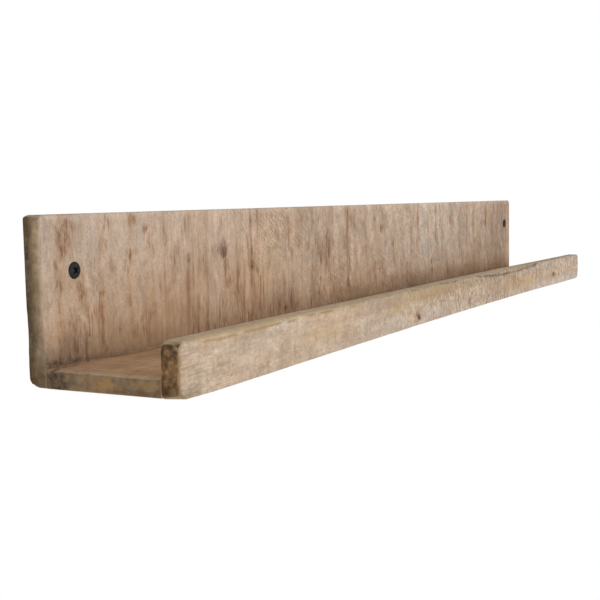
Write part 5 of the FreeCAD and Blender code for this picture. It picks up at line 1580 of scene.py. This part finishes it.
def floor():
    n, size = 48, 40.0
    mesh = bpy.data.meshes.new("floor")
    ax = np.linspace(-size, size, n + 1)
    gx, gy = np.meshgrid(ax, ax, indexing="ij")
    co = np.stack([gx, gy, np.full_like(gx, -1.2)], -1).reshape(-1, 3)
    ids = np.arange((n + 1) ** 2).reshape(n + 1, n + 1)
    q = np.stack([ids[:-1, :-1], ids[1:, :-1], ids[1:, 1:], ids[:-1, 1:]], -1).reshape(-1, 4)
    mesh.from_pydata(co.tolist(), [], q.tolist())
    ob = bpy.data.objects.new("floor", mesh)
    bpy.context.scene.collection.objects.link(ob)
    t = Tree("pale_floor")
    grain = t.noise(t.scaled((1 / 40.0,) * 3), 3.0, 0.6)
    col = t.mix(t.band(grain, 0.3, 0.7), (0.86, 0.855, 0.845), (0.90, 0.895, 0.885))
    t.put(t.bsdf.inputs["Base Color"], col)
    t.bsdf.inputs["Roughness"].default_value = 0.9
    t.bsdf.inputs["Specular IOR Level"].default_value = 0.1
    # far out, the floor melts into the white of the studio
    far = t.nt.nodes.new("ShaderNodeVectorMath")
    far.operation = "LENGTH"
    t.put(far.inputs[0], t.coord)
    glow = t.nt.nodes.new("ShaderNodeEmission")
    glow.inputs["Color"].default_value, glow.inputs["Strength"].default_value = (1, 1, 1, 1), 1.0
    mix = t.nt.nodes.new("ShaderNodeMixShader")
    t.put(mix.inputs[0], t.band(far.outputs["Value"], 1.3, 2.1))
    t.nt.links.new(t.bsdf.outputs[0], mix.inputs[1])
    t.nt.links.new(glow.outputs[0], mix.inputs[2])
    t.nt.links.new(mix.outputs[0], t.out.inputs["Surface"])
    mesh.materials.append(t.mat)
    return ob


camera()
studio()
floor()

back_mat, shelf_mat, lip_mat = back_finish(), shelf_finish(), lip_finish()

boards = []
b = back_board()
b.arrays()
wear_back(b)
ob = to_object(b, strips(2, 450.0, {0: (98.0, Z0), 1: (98.0, Z0), 2: (12.6, -BACK_T), 3: (12.6, -BACK_T)},
                         {4: (12.6, 98.0, -BACK_T, Z0), 5: (12.6, 98.0, -BACK_T, Z0)}), (3.0, 486.0))
write_marks(ob, marks_back(b))
ob.data.materials.append(back_mat)
boards.append((ob, "back_board", "back_wood"))

b = shelf_board()
b.arrays()
wear_shelf(b)
y_front = -DEPTH + LIP_T
ob = to_object(b, strips(2, 450.0, {0: (11.4, Z0), 1: (11.4, Z0), 2: (78.5, y_front), 3: (78.5, y_front)},
                         {4: (78.5, 11.4, y_front, Z0), 5: (78.5, 11.4, y_front, Z0)}), (3.0, 400.0))
write_marks(ob, marks_shelf(b))
ob.data.materials.append(shelf_mat)
boards.append((ob, "shelf_board", "shelf_wood"))

b = front_lip()
b.arrays()
wear_lip(b)
ob = to_object(b, strips(3, 300.0, {0: (29.5, Z0), 1: (29.5, Z0), 2: (11.5, -DEPTH), 3: (11.5, -DEPTH)},
                         {4: (11.5, 29.5, -DEPTH, Z0), 5: (11.5, 29.5, -DEPTH, Z0)}), (3.0, 300.0))
write_marks(ob, marks_lip(b))
ob.data.materials.append(lip_mat)
boards.append((ob, "front_lip", "lip_wood"))

for ob, node, slot in boards:
    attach(ob, "root")
    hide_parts(node)

black = metal("black_screw_finish", (0.016, 0.016, 0.018), (0.026, 0.025, 0.025), 0.5, 0.5, 0.0, (0.034, 0.030, 0.026), 0.2, True)
zinc = metal("zinc_plate", (0.60, 0.57, 0.46), (0.48, 0.46, 0.39), 0.30, 0.6, 1.0, (0.42, 0.36, 0.22))
brad = metal("lacquered_brad", (0.50, 0.385, 0.275), (0.42, 0.31, 0.21), 0.7, 0.35, 0.0, (0.36, 0.24, 0.14))
rusty = metal("rusted_brad", (0.115, 0.062, 0.036), (0.060, 0.034, 0.022), 0.8, 0.35, 0.0, (0.20, 0.10, 0.05))
for (name, x, z), turn in zip(WALL_SCREWS, (45.0, 38.0)):
    ob = wall_screw(name + "_metal", x, z, turn)
    ob.data.materials.clear()
    ob.data.materials.append(black)
    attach(ob, "root")
    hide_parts(name)
for name, node in frame["nodes"].items():
    if name.startswith(("rear_screw", "lip_brad")):
        mat = zinc if name.startswith("rear_screw") else rusty if name == "lip_brad_3" else brad
        node.data.materials.clear()
        node.data.materials.append(mat)

bpy.context.view_layer.update()
